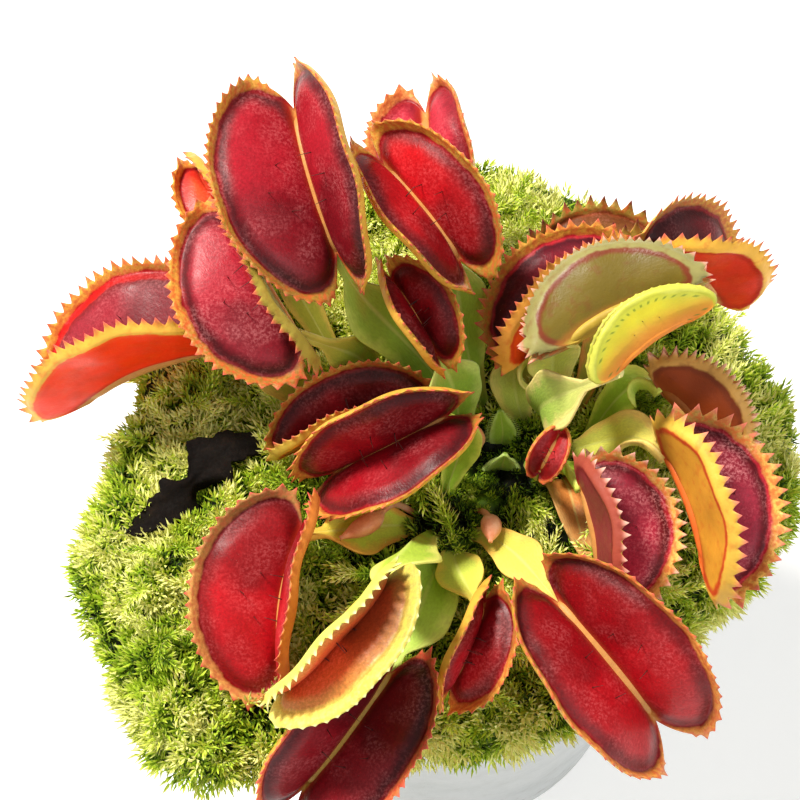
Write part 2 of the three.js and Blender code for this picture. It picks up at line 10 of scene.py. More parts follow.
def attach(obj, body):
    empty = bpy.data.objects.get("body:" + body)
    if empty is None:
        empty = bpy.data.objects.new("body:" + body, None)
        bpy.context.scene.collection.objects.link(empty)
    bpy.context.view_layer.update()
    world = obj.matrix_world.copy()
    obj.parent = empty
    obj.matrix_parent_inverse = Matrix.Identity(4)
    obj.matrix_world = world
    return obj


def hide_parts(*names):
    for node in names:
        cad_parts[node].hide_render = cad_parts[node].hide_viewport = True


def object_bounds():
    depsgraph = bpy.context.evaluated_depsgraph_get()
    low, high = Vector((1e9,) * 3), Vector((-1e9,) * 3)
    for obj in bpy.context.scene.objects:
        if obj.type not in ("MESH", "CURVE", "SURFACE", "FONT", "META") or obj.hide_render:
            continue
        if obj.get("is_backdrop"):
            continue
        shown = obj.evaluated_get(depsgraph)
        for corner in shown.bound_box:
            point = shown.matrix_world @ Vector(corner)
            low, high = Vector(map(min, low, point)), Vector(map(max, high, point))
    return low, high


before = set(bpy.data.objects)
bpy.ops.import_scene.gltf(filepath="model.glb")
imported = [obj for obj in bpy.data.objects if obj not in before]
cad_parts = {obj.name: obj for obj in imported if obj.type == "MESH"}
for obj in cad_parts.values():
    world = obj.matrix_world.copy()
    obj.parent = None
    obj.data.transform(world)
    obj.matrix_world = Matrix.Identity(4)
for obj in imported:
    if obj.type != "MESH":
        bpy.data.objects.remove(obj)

cad_box = [list(corner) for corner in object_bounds()]

MM = 0.001
SEEDS = dict(trap=400, stalk=600, moss=77)

# The photograph's camera: it looks down at the traps from the front
VIEW = dict(target=(-7, 0, 96), elevation=60, distance=330, lens=99.5, sensor=36)
# In metres and watts: where each lamp stands, its size, power and colour
LAMPS = {
    "key": ((-0.42, 0.22, 0.85), 0.2, 13.0, (1.0, 0.96, 0.88)),
    "fill": ((0.7, -0.6, 0.7), 0.9, 4.5, (0.95, 0.98, 1.0)),
}
LAMP_AIM = (0, 0, 0.1)
SKY = 0.48
FLOOR_SIZE = 36

POT = dict(rim=46, rim_depth=9, top=44, base=33, height=88, wall=1.6, lip=1.2, floor=2.2, sides=96)
DRAIN = dict(count=6, ring=22, radius=3.2)
PEAT_TOP = 84
CROWNS = {
    "a": dict(at=(5, -3, 88), bulb=5.2),
    "b": dict(at=(15, -5, 88), bulb=5.0),
    "c": dict(at=(0, -18, 88), bulb=4.6),
    "d": dict(at=(-10, 1, 88), bulb=4.2),
}
ROOT = dict(headings=(20, 140, 260), turn=40, start=1.5, spread=5, sunk=1, length=40, top=0.85, end=0.45)
# A lobe's outline as shares of the midrib's length; a midrib shorter than full gets finer details
LOBE = dict(long=0.88, deep=0.4, middle=0.62, hinge=0.8, rib_end=1.148, full=9)
# One tooth as shares of its height, column by column
TOOTH = (0.05, 0.42, 1.0, 0.42)
# The rim's band, the height and pitch of its teeth, and how far it folds in, in degrees
RIM = dict(band=1.7, height=1.15, pitch=1.3, tilt=40)
# The same for traps whose rims differ; of a pair, the first is for the lobe to the left of the midrib
RIMS = {
    "01": (1.7, 1.1), "02": (1.7, (1.15, 2.0), 1.4), "03": (1.3, 1.7, 1.6), "05": (2.2, 0.9),
    "07": (1.3, 1.2), "08": (1.3, 1.4, 1.4), "10": (1.5, 1.5, 1.3), "11": (2.1, 1.6, 1.0),
    "12": (1.5, 1.5, 1.45), "13": (1.1, 2.1, 1.8), "14": (0.9, 0.25, 1.1), "15": (1.2, 1.6, 0.95),
    "16": (1.4, 1.95, 1.6), "17": (1.2, 1.7, 1.45), "18": (1.7, 0.9, 1.5), "19": (1.5, 1.3, 1.4),
    "20": (1.6, 1.2, 1.5), "21": ((2.2, 0.8), (0.45, 1.5), 1.4, (8, 40)), "23": (0.9, 0.5),
}
# Rings of a lobe's inner (1) and outer (-1) skin, as shares of the way from its middle to its edge
PAD_ROWS = {
    1: (0.17, 0.33, 0.47, 0.59, 0.7, 0.78, 0.85, 0.905, 0.95, 0.98, 1.0),
    -1: (0.25, 0.5, 0.7, 0.85, 0.95, 1.0),
}
# Rows over the band: share of its width, and half the thickness there
BAND_ROWS = ((0.15, 0.3), (0.45, 0.42), (0.75, 0.4), (1.0, 0.3))
TOOTH_ROWS = (0.4, 0.75, 1.0)
# How unlike the teeth are: their heights as shares, and how far they lean aside, in degrees
UNLIKE = dict(height=(0.75, 1.15), lean=13)
# Half thickness at the rim and in the middle, how far each skin bulges, and the lobe's slow wave
PAD = dict(rim=0.28, middle=0.5, bulge=0.55, back_bulge=0.2, wave=0.26, wave_pitch=0.55)
# Half width and height of the midrib, and what the swelling adds to each
MIDRIB = dict(width=1.1, height=0.85, more_width=0.4, more_height=0.3, swell=2.7, raised=0.6)
# Trigger hairs: where they stand, as shares of the midrib's length and of the height of the middle
HAIR = dict(spots=((-0.2, 0.85), (0.2, 0.85), (0.0, 1.25)), sway=0.5, length=1.9, foot=0.09, tip=0.025)
STALK = dict(half=0.38, narrow_half=0.55, keel=1.1, fold=14, neck=0.8, steps=40, gap=0.3, clear=0.4)
# Shares of the span at which a stalk bends, how it waves along its length, and how its width strays
STALK_BEND = dict(leave=0.4, arrive=0.3, wave=0.28, waves=11, stray=0.035, strays=23)
# A leaf blade's outline: how it lifts and thins to its margins, its groove above and its ridge below
BLADE = dict(lift=1.3, thinner=0.55, groove=0.18, groove_reach=0.5, ridge_reach=0.75)
# Columns over a leaf blade, from one margin to the other
ACROSS = np.array([1, 0.93, 0.72, 0.42, 0.14, 0, -0.14, -0.42, -0.72, -0.93, -1])
RING = np.abs(np.tile(ACROSS, 2))
MOSS = dict(middle=93, edge_drop=5, hem=79.8, lump=1.3, lowered=3.6, clump=3.2, mound=2.4, mound_reach=5.5,
            brink=0.95, clear=0.4, heart=(9, -17), heart_reach=17, around=220)
CLUMPS = dict(reach=70, step=8.5, shift=3.4, size=(5.2, 8.0))
# The moss bed: rows over its top and down its edge, how the edge bulges, and waves round hem and side
BED = dict(rows=64, edge_rows=12, bulge=0.03, hem_wave=1.2, hem_waves=5, side_wave=0.8, side_waves=9)
SPRIG = dict(count=16500, pieces=3, leaves=12, length=(2.4, 5.2), shortest=1.4, sunk=0.3, clear=1,
             past_box=0.3, heart_cut=0.42, wing=0.042, fold=0.04)
# What a sprig's direction follows: the bed's face, the way out of its clump, the sky, and chance
SPRIG_WAY = dict(out=0.8, spread=0.45, clump_reach=6, up=0.45, stray=0.22)
# What makes a sprig light or dark: chance, how high it stands in its clump, which paints shade into the
# hollows, and painted shade in the plant's heart
SPRIG_TINT = dict(chance=0.45, clump=0.55, power=0.6, heart=0.45)
SHOOT = dict(count=330, leaves=48, leaf=(3.0, 1.4), wing=0.18, tint=(0.75, 1.1), above=1.2, clear=2.1,
             past_box=-0.5, within=0.9)
# How far a shoot's stem goes out and up, and how it bows on its way
BOW = dict(out=0.5, more_out=0.2, up=1.1, fall=0.45)
# Where shoots grow by turns: the middle of the spot, its reach, and how long they get
SHOOT_SPOTS = (((0, 0), 46, (7, 10)), (MOSS["heart"], 20, (8, 13)))
# Degrees from one leaf of a moss stem to the next
SPIRAL = 137.5

# The edge of the moss: heading in degrees, distance from the middle
MOSS_EDGE = (
    (0, 53), (15, 48), (45, 46), (75, 47), (105, 52), (125, 49), (145, 50), (160, 47), (175, 46),
    (190, 51), (209, 60), (233, 66), (250, 56), (270, 50), (290, 49), (318, 47.5), (336, 51), (348, 54),
)

FIELDS = ("name", "crown", "root", "at", "aim", "size", "open", "blade")


def row(*values, **more):
    return dict(zip(FIELDS, values), **more)


# One row a leaf, most with the same values as the solids: its name, its crown, the heading and rise
# at which it leaves the crown, where the trap joins the stalk, the midrib's heading, rise and roll,
# the midrib's length, how far each lobe leans from the closed plane, and the width of the stalk's
# blade. Of the trap: wide, curl and arch shape its lobes, splay turns them, tilt folds its band and
# rib is its midrib's share. Of the stalk: bend and face steer it, broad and shoulder shape its blade.
LEAVES = [
    row("01", "a", (140, 52), (-16, 7.7, 124.5), (110, 28, -24), 16.8, (45, 37), 9, wide=1.15, splay=4,
        bend=((-4.2, 6.6, 103), (-13.8, 3, 116.5))),
    row("02", "d", (110, 50), (-22, 0, 114), (123, 21, -56), 14.6, (42, 42), 7, wide=1.1,
        bend=((-11, 5, 101), (-14, -1, 111))),
    row("03", "d", (205, 25), (-36, 4.2, 103.8), (-173, -24, 28), 17.8, (40, 44), 6, wide=1.15,
        bend=((-18, -2, 97), (-27, 1, 106))),
    row("04", "d", (130, 20), (-29, 21, 109), (136, 23, -46), 9, (35, 35), 5),
    row("05", "a", (85, 55), (1, 8, 122.9), (132, 24, -8), 13, (42, 40), 8, wide=1.08,
        bend=((2.1, 6, 103), (0.6, 11.5, 116))),
    row("06", "a", (110, 25), (-0.8, 20, 118.5), (103, 19, -30), 11.2, (62, 62), 6),
    row("07", "a", (235, 15), (-6.5, -4, 101), (-163, -4, 13), 13, (36, 20), 7, wide=0.9,
        bend=((-1, -9.5, 94), (-3, -6.5, 97))),
    row("08", "c", (97, 45), (-1, -10.5, 109), (-164, -26, -27), 14.5, (40, 32), 6, wide=1.1,
        bend=((1, -12, 99), (4.5, -9.5, 107))),
    row("09", "a", (190, 55), (-2.4, -2.1, 114), (123, 24, -4), 8.4, (30, 38), 9, wide=1.2,
        bend=((2, -3, 101), (0, -3.5, 110))),
    row("10", "b", (150, 50), (11.7, 1.5, 109), (43, 24, -38), 12.8, (36, 33), 7,
        bend=((10.4, -1, 97), (8, 1, 103))),
    row("11", "b", (95, 50), (16.2, -6.2, 122.9), (24, 13, -92), 12.4, (20, 22), 8, wide=1.03, curl=-16,
        bend=((17.2, 4.4, 99), (12.4, 0.6, 115)), face=(0.2, -1, 0.3)),
    row("12", "b", (50, 20), (30, 10, 118), (15, -47, -15), 13.6, (36, 32), 6,
        bend=((22.5, 5, 96), (23.5, 7.5, 120))),
    row("13", "a", (50, 25), (16, 15, 105), (18, 0, -29), 11.8, (33, 33), 6),
    row("14", "b", (50, 65), (22.2, -11.6, 124.6), (35, 17, -53), 10.6, (9, 9), 8.5, wide=0.74, curl=-30,
        tilt=10, bend=((11.5, -5.5, 104), (11.5, -11, 113)), face=(-0.8, -0.5, 0.3), broad=0.7,
        shoulder=0.68, rib=0.65),
    row("15", "b", (0, 20), (31, -4, 106), (-45, -21, -59), 10, (16, 16), 6, curl=-20, tilt=20,
        bend=((24, -1, 97), (28, 0, 107))),
    row("16", "b", (335, 50), (31, -16, 108), (-68, -19, -45), 13.5, (40, 40), 8, wide=1.15),
    row("17", "b", (290, 45), (19, -20, 106), (-76, -24, -40), 11.3, (38, 38), 6, wide=1.3),
    row("18", "c", (325, 45), (15, -38, 106), (-45, -25, 16), 17.2, (46, 46), 6.5, arch=0.2, splay=3),
    row("19", "c", (262, 20), (-8.5, -46, 100), (-131, -26, -25), 16.1, (44, 44), 10,
        bend=((-2, -27, 96), (-5, -39, 99))),
    row("20", "c", (185, 25), (-21, -25.5, 102.5), (-102, -24, 32), 15.4, (44, 44), 8.5, wide=1.12,
        bend=((-8, -19.5, 94.5), (-16, -22.5, 97.5))),
    row("21", "c", (232, 50), (-10, -40, 114.9), (-136, -22, -36), 13.4, (24, 24), 10,
        bend=((-6.5, -27, 101), (-6, -36, 116)), face=(0, -1, 0.3)),
    row("22", "c", (285, 35), (4.4, -37, 102.6), (-114, -33, -26), 8.8, (34, 34), 7, wide=1.15,
        bend=((0, -26, 96), (2, -32, 99.5))),
    row("23", "b", (245, 50), (13, -17, 106), (56, 41, 12), 4.1, (50, 50), 4,
        bend=((12, -10.5, 97), (11.2, -15, 101)), face=(1, -0.2, 0.3)),
]

BUDS = {
    "bud_1": ((-4.5, -16.5, 91), (-8, -17.5, 96), (-11, -22, 99.5), (-15.5, -25, 100)),
    "bud_2": ((3.5, -16, 91), (5.2, -18.5, 95.5), (6, -22, 99), (5.8, -26, 101)),
    "bud_3": ((4, -7, 91.5), (4, -9, 96), (4, -9, 99), (4, -7.5, 102)),
}
# A bud's radii, and the share of its stem where the head starts
BUD = dict(head=1.55, foot=0.55, taper=0.1, least=0.35, start=0.55)
# Path and half width
YOUNG_LEAVES = {
    "young_leaf_1": (((8, -6, 91.5), (8.2, -5.5, 96), (7.7, -4.5, 100.5)), 2.0),
    "young_leaf_2": (((7.8, -9, 90), (8, -10.5, 95), (8.3, -11, 99)), 2.2),
}
# A young leaf's rows and the first one with fringes, then a fringe's length and radii
FRINGE = dict(rows=24, first=3, length=0.75, foot=0.09, tip=0.02)
# The dead leaf: half its width, how it pinches in the middle, and half its thickness
CRUMPLE = dict(half=4, pinch=0.7, pinch_reach=0.09, thick=0.45, thinner=0.25)
OLD_STALK = ((16.5, -9, 88), (17.5, -14, 95), (18.5, -20, 96.5), (20, -26, 94.5))
DEAD_LEAF = ((-28, -6, 93.6), (-33, -8, 95.4), (-37, -12, 93.5), (-40, -16, 93.8), (-47, -20, 91.2))

# The colours of a trap. flesh, dark, line, band and tip run from the middle of a lobe's inner side
# out to its teeth, mottle patches the band, back and fold are its outer side, rim is the outside of
# its band, rib its midrib and flank the skin beside it. dark is the lobe's deeper red with painted
# shade of the crease. inset: how far the line reaches in from the crease, in mm. sheen: how strong
# the painted sheen is, pale patches standing in for a highlight. dots: a row of glands outside the rim.
RED = dict(mottle="cc5a30", tip="d8604c", back="dc7430", fold="b8341a", rim="e0ac42", rib="c88c4a",
           flank="a82818", inset=0.1, sheen=0.13, flank_reach=2.4)


def hues(flesh, dark, line, band, **more):
    return {**RED, "flesh": flesh, "dark": dark, "line": line, "band": band, **more}


LOOKS = {
    "01": hues("a01826", "580a12", "84141a", "cf9a3c", sheen=0.18),
    "02": hues("a42030", "560c14", "84141a", "d89a40", sheen=0.22, mottle="d8502c", back="8c7830",
               fold="8c5028", rim="b09c40"),
    # 03's outer side is painted a brighter orange-red, standing in for sun shining through the lobe
    "03": hues("942430", "80161e", "c01414", "e8a844", inset=1.1, back="ff3206", fold="ff480c",
               rim="f4bc48"),
    "04": hues("e0502c", "c8281c", "8c0e14", "f2b850", back="f0b048"),
    "05": hues("b4141c", "760a10", "90101a", "d4a840"),
    "06": hues("b82a3c", "8a1424", "8c0e14", "e89a50"),
    "07": hues("741018", "48080e", "7c1014", "c8a444", back="a8903c", rim="d8b848"),
    "08": hues("900e1a", "5e0812", "901018", "d8a040"),
    "09": hues("840e16", "5e0810", "8c1418", "d4a83c", back="c8a040"),
    "10": hues("701020", "4c0818", "a81824", "e0a840", back="f05018", fold="d83c14", rim="e8a040"),
    # 11's outer side is olive, partly painted shade that makes it duller and darker
    "11": hues("a05030", "8a3020", "b04828", "ccb864", tip="f0a090", back="6e5c1a", fold="74341a",
               rim="908850", rib="b89a38", flank="a86a28"),
    "12": hues("741018", "560a12", "941418", "eab048", back="e02c14", fold="c82414", rim="f0b43c"),
    "13": hues("8a5a2c", "74401e", "8a4420", "b8a044", tip="6a1c24", back="a89038", fold="8a4a20",
               rim="c0ac48"),
    # 14's wide orange flank and rib along its underside are its own orange with painted shade
    "14": hues("d8a040", "c88838", "c07030", "e0d85a", tip="c8c048", mottle="b8c040", back="bcb028",
               fold="b4b434", rim="c8c850", rib="e0862c", flank="e07c28", flank_reach=4.2, dots="6c7c20"),
    "15": hues("7c2c1c", "5c1c14", "8c3020", "d0b450", tip="fab8a0", back="94401a", fold="80381a",
               rim="d4a050", rib="a05c24", flank="94441c"),
    "16": hues("9c1a32", "5e0a1a", "b41e2c", "ecb858", sheen=0.42, tip="ee806a", back="dc9c34",
               fold="c84822", rim="e6b848", rib="e87030"),
    "17": hues("a01c34", "5c0818", "a81826", "ecb454", sheen=0.42, tip="f4b8a4", back="8c3438",
               fold="7c2428", rim="a44c3c"),
    "18": hues("ac0e18", "74080e", "860c12", "e09440"),
    "19": hues("7c101a", "4c0810", "760c12", "e07840", mottle="e0483c", tip="f07060", rib="b48c3c"),
    "20": hues("b4121c", "880a10", "840a10", "dca458", mottle="cc7048", tip="e45850", back="e8702a",
               rim="e88a3c"),
    "21": hues("d85c30", "d08440", "d8b050", "f0e470", tip="f8f0a8", mottle="e0c050", back="ccc44c",
               fold="c4b444", rim="dcd860", rib="e0cc58", flank="b87840"),
    "22": hues("b0121e", "7c0810", "980e18", "e8a448", back="e8a840"),
    "23": hues("b01c20", "901418", "a81c1c", "e88a48", back="e87840"),
}
# The two colours of a stalk's blade: its middle and its margin
GREEN = ("98ba38", "ccd85c")
STALK_LOOKS = {
    "01": ("8cb23c", "b4cc58"), "02": ("a0ac3c", "c8bc50"), "03": ("a8a034", "ccac48"),
    "04": ("a8aa40", "c8b050"), "05": ("98ba40", "bcd060"), "09": ("90b444", "bcd270"),
    "10": ("b8c458", "d8cc6c"), "11": ("c4c85c", "dcd474"),
    "12": ("a8a040", "d09048"), "13": ("a0a840", "c0b858"), "14": ("9cb850", "e0d080"),
    "16": ("e0e068", "f0d070"), "18": ("d0cc58", "e8c05c"), "19": ("a8cc50", "cce074"),
    "20": ("c4d048", "e8ac4c"), "21": ("b0cc48", "e0e070"), "22": ("bcc850", "e0c858"),
    "23": ("98b04c", "c0b858"),
}


# Helpers
def smooth(t):
    t = np.clip(t, 0, 1)
    return t * t * (3 - 2 * t)


def mix(a, b, t):
    return a + (b - a) * t


def unit(v):
    v = np.asarray(v, float)
    return v / np.linalg.norm(v, axis=-1, keepdims=True)


def polar(heading, r, z):
    turn = math.radians(heading)
    return np.array([r * math.cos(turn), r * math.sin(turn), z])


def direction(heading, rise):
    up = math.radians(rise)
    return polar(heading, math.cos(up), math.sin(up))


def turned(radius, height, turn):
    """Rings round the upright axis."""
    return np.stack(np.broadcast_arrays(radius * np.cos(turn), radius * np.sin(turn), height), -1)


def linear(colour):
    """A hex colour as the linear numbers that a shader takes."""
    share = [int(colour[k:k + 2], 16) / 255 for k in (0, 2, 4)]
    return tuple(c / 12.92 if c <= 0.04045 else ((c + 0.055) / 1.055) ** 2.4 for c in share) + (1,)


def face_out(mesh):
    """Turns the faces of closed shells so that they all point out."""
    work = bmesh.new()
    work.from_mesh(mesh)
    bmesh.ops.recalc_face_normals(work, faces=work.faces)
    work.to_mesh(mesh)
    work.free()


def grid_faces(rows, columns, flip=False):
    """Quads between rings of points."""
    i, j = np.meshgrid(np.arange(rows - 1), np.arange(columns), indexing="ij")
    k = (j + 1) % columns
    quads = np.stack([i * columns + j, i * columns + k, (i + 1) * columns + k, (i + 1) * columns + j], -1)
    quads = quads.reshape(-1, 4)
    return quads[:, ::-1] if flip else quads


def fan(centre, ring, flip=False):
    """Triangles from one point to a closed ring of points."""
    tris = np.stack([np.full(len(ring), centre), ring, np.roll(ring, -1)], -1)
    return tris[:, ::-1] if flip else tris


def capped(rings, ends, flip=False):
    """Points, quads and triangles of a closed shell: rings of points, and a point in each end."""
    rows, columns = rings.shape[:2]
    ring, last = np.arange(columns), rows * columns
    caps = [fan(last, ring, not flip), fan(last + 1, ring + last - columns, flip)]
    return np.concatenate([rings.reshape(-1, 3), ends]), grid_faces(rows, columns, flip), np.concatenate(caps)


class Body:
    """Collects the shells of one piece: points, faces, and the numbers kept on each point."""

    def __init__(self, *keys):
        self.points = []
        self.faces, self.skins = {4: [], 3: []}, {4: [], 3: []}
        self.values = {key: [] for key in keys}
        self.count = 0

    def add_faces(self, faces, skin=0):
        sides = faces.shape[1]
        self.faces[sides].append(faces)
        self.skins[sides].append(np.full(len(faces), skin))

    def shell(self, points, *groups, skin=0, **values):
        points = np.asarray(points, float).reshape(-1, 3)
        for faces in groups:
            self.add_faces(faces + self.count, skin)
        self.points.append(points)
        for key, kept in self.values.items():
            kept.append(np.broadcast_to(np.ravel(values.get(key, 0.0)), len(points)))
        self.count += len(points)

    def finish(self, name, materials, slot, replaced, solid=True):
        """Makes one mesh object of the shells, with their numbers, riding on the root body."""
        faces = [face for kept in self.faces[4] + self.faces[3] for face in kept.tolist()]
        skins = np.concatenate(self.skins[4] + self.skins[3])
        mesh = bpy.data.meshes.new(name)
        mesh.from_pydata(np.concatenate(self.points) * MM, [], faces, shade_flat=False)
        mesh.polygons.foreach_set("material_index", skins.astype(np.int32))
        for key, kept in self.values.items():
            layer = mesh.attributes.new(key, "FLOAT", "POINT")
            layer.data.foreach_set("value", np.concatenate(kept).astype(np.float32))
        mesh.validate()
        if solid:
            face_out(mesh)
        for material in materials:
            mesh.materials.append(material)
        piece = bpy.data.objects.new(name, mesh)
        bpy.context.scene.collection.objects.link(piece)
        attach(piece, "root")
        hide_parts(*replaced)
        return piece


def bezier(corners, u):
    a, b, c, d = (np.asarray(p, float) for p in corners)
    u = np.asarray(u)[:, None]
    return a * (1 - u) ** 3 + 3 * b * u * (1 - u) ** 2 + 3 * c * u * u * (1 - u) + d * u ** 3


def spline(corners, steps):
    """A smooth curve through a few points, evenly stepped along its length."""
    p = np.asarray(corners, float)
    p = np.concatenate([[2 * p[0] - p[1]], p, [2 * p[-1] - p[-2]]])
    fine = []
    for i in range(1, len(p) - 2):
        for t in np.linspace(0, 1, 24, endpoint=False):
            fine.append(0.5 * (2 * p[i] + (p[i + 1] - p[i - 1]) * t
                               + (2 * p[i - 1] - 5 * p[i] + 4 * p[i + 1] - p[i + 2]) * t ** 2
                               + (3 * p[i] - p[i - 1] - 3 * p[i + 1] + p[i + 2]) * t ** 3))
    fine.append(p[-2])
    return even(np.array(fine), steps)


def even(line, steps):
    """The same line with evenly spaced points."""
    walk = np.concatenate([[0], np.cumsum(np.linalg.norm(np.diff(line, axis=0), axis=1))])
    at = np.linspace(0, walk[-1], steps + 1)
    return np.stack([np.interp(at, walk, line[:, k]) for k in range(line.shape[1])], -1)


def frames(path, facing):
    """The directions along, across and up at each point of a path."""
    along = unit(np.gradient(path, axis=0))
    across = unit(np.cross(facing, along))
    return along, across, np.cross(along, across)


def sweep(body, path, facing, section, skin=0, **values):
    """A closed tube: section(u) gives rows of (across, up) offsets for each point of the path."""
    _, across, up = frames(path, facing)
    shares = np.linspace(0, 1, len(path))
    offsets = np.array([section(u) for u in shares])
    rings = path[:, None] + across[:, None] * offsets[..., :1] + up[:, None] * offsets[..., 1:]
    for key, value in values.items():
        if callable(value):
            table = np.array([np.broadcast_to(value(u), rings.shape[1]) for u in shares])
            values[key] = np.concatenate([table.ravel(), [table[0].mean(), table[-1].mean()]])
    body.shell(*capped(rings, path[[0, -1]]), skin=skin, **values)


def circle(radius, sides):
    turn = np.linspace(0, 2 * math.pi, sides, endpoint=False)
    return np.stack([radius * np.cos(turn), radius * np.sin(turn)], -1)


# Materials
class Graph:
    """A material's nodes, with short calls to add one and to join it to others."""

    def __init__(self, name, roughness=0.5, specular=0.5):
        self.material = bpy.data.materials.new(name)
        self.material.use_nodes = True
        self.nodes = self.material.node_tree.nodes
        self.links = self.material.node_tree.links
        self.shader = self.nodes["Principled BSDF"]
        self.shader.inputs["Roughness"].default_value = roughness
        self.shader.inputs["Specular IOR Level"].default_value = specular
        self.place = self.add("TexCoord").outputs["Object"]

    def add(self, kind, inputs=None, **settings):
        node = self.nodes.new("ShaderNode" + kind)
        for key, value in settings.items():
            setattr(node, key, value)
        for key, value in (inputs or {}).items():
            self.join(value, node.inputs[key])
        return node

    def join(self, value, socket):
        if isinstance(value, bpy.types.NodeSocket):
            self.links.new(value, socket)
        else:
            socket.default_value = value

    def attribute(self, name):
        return self.add("Attribute", attribute_name=name).outputs["Fac"]

    def noise(self, grain, detail=2.0, rough=0.5):
        """Noise whose patches are about grain millimetres wide."""
        node = self.add("TexNoise", {"Vector": self.place, "Scale": 1 / (grain * MM),
                                     "Detail": detail, "Roughness": rough})
        return node.outputs["Fac"]

    def stripes(self, scale):
        """Bands across a trap's midrib."""
        where = self.add("CombineXYZ", {"X": self.attribute("along")}).outputs[0]
        return self.add("TexWave", {"Vector": where, "Scale": scale}, wave_type="BANDS").outputs["Fac"]

    def plus(self, a, b):
        return self.add("Math", {0: a, 1: b}, operation="ADD").outputs[0]

    def times(self, a, b):
        return self.add("Math", {0: a, 1: b}, operation="MULTIPLY").outputs[0]

    def between(self, value, low, high, to_low=0.0, to_high=1.0):
        """A value taken smoothly from one range to another."""
        node = self.add("MapRange", {"Value": value, "From Min": low, "From Max": high,
                                     "To Min": to_low, "To Max": to_high},
                        interpolation_type="SMOOTHSTEP")
        return node.outputs["Result"]

    def wander(self, value, grain, detail, reach):
        """A value pushed up and down by noise."""
        return self.plus(value, self.between(self.noise(grain, detail), 0.2, 0.8, -reach, reach))

    def ramp(self, value, stops):
        """Colours at places from 0 to 1. The places come first, since setting one sorts the ramp."""
        node = self.add("ValToRGB", {"Fac": value})
        elements = node.color_ramp.elements
        while len(elements) < len(stops):
            elements.new(0.5)
        for element, (at, _) in zip(elements, stops):
            element.position = at
        for element, (_, colour) in zip(elements, stops):
            element.color = linear(colour)
        return node.outputs["Color"]

    def blend(self, a, b, share):
        node = self.add("Mix", data_type="RGBA", clamp_result=True)
        for value, k in ((share, 0), (a, 6), (b, 7)):
            self.join(linear(value) if isinstance(value, str) else value, node.inputs[k])
        return node.outputs[2]

    def lit(self, colour, value):
        return self.add("HueSaturation", {"Color": colour, "Value": value}).outputs["Color"]

    def tone(self, colour, value, low, high):
        """A colour made lighter and darker by a value from 0 to 1."""
        share = self.add("MapRange", {"Value": value, "From Min": 0.25, "From Max": 0.75,
                                      "To Min": low, "To Max": high}).outputs["Result"]
        return self.lit(colour, share)

    def finish(self, colour, roughness=None, height=None, depth=0.0001, strength=0.5):
        self.join(colour, self.shader.inputs["Base Color"])
        if roughness is not None:
            self.join(roughness, self.shader.inputs["Roughness"])
        if height is not None:
            bump = self.add("Bump", {"Height": height, "Distance": depth, "Strength": strength})
            self.links.new(bump.outputs["Normal"], self.shader.inputs["Normal"])
        return self.material


def shrink(size):
    """How fine the details are of a trap whose midrib is that long: 1 for a full-grown one."""
    return min(1, size / LOBE["full"])


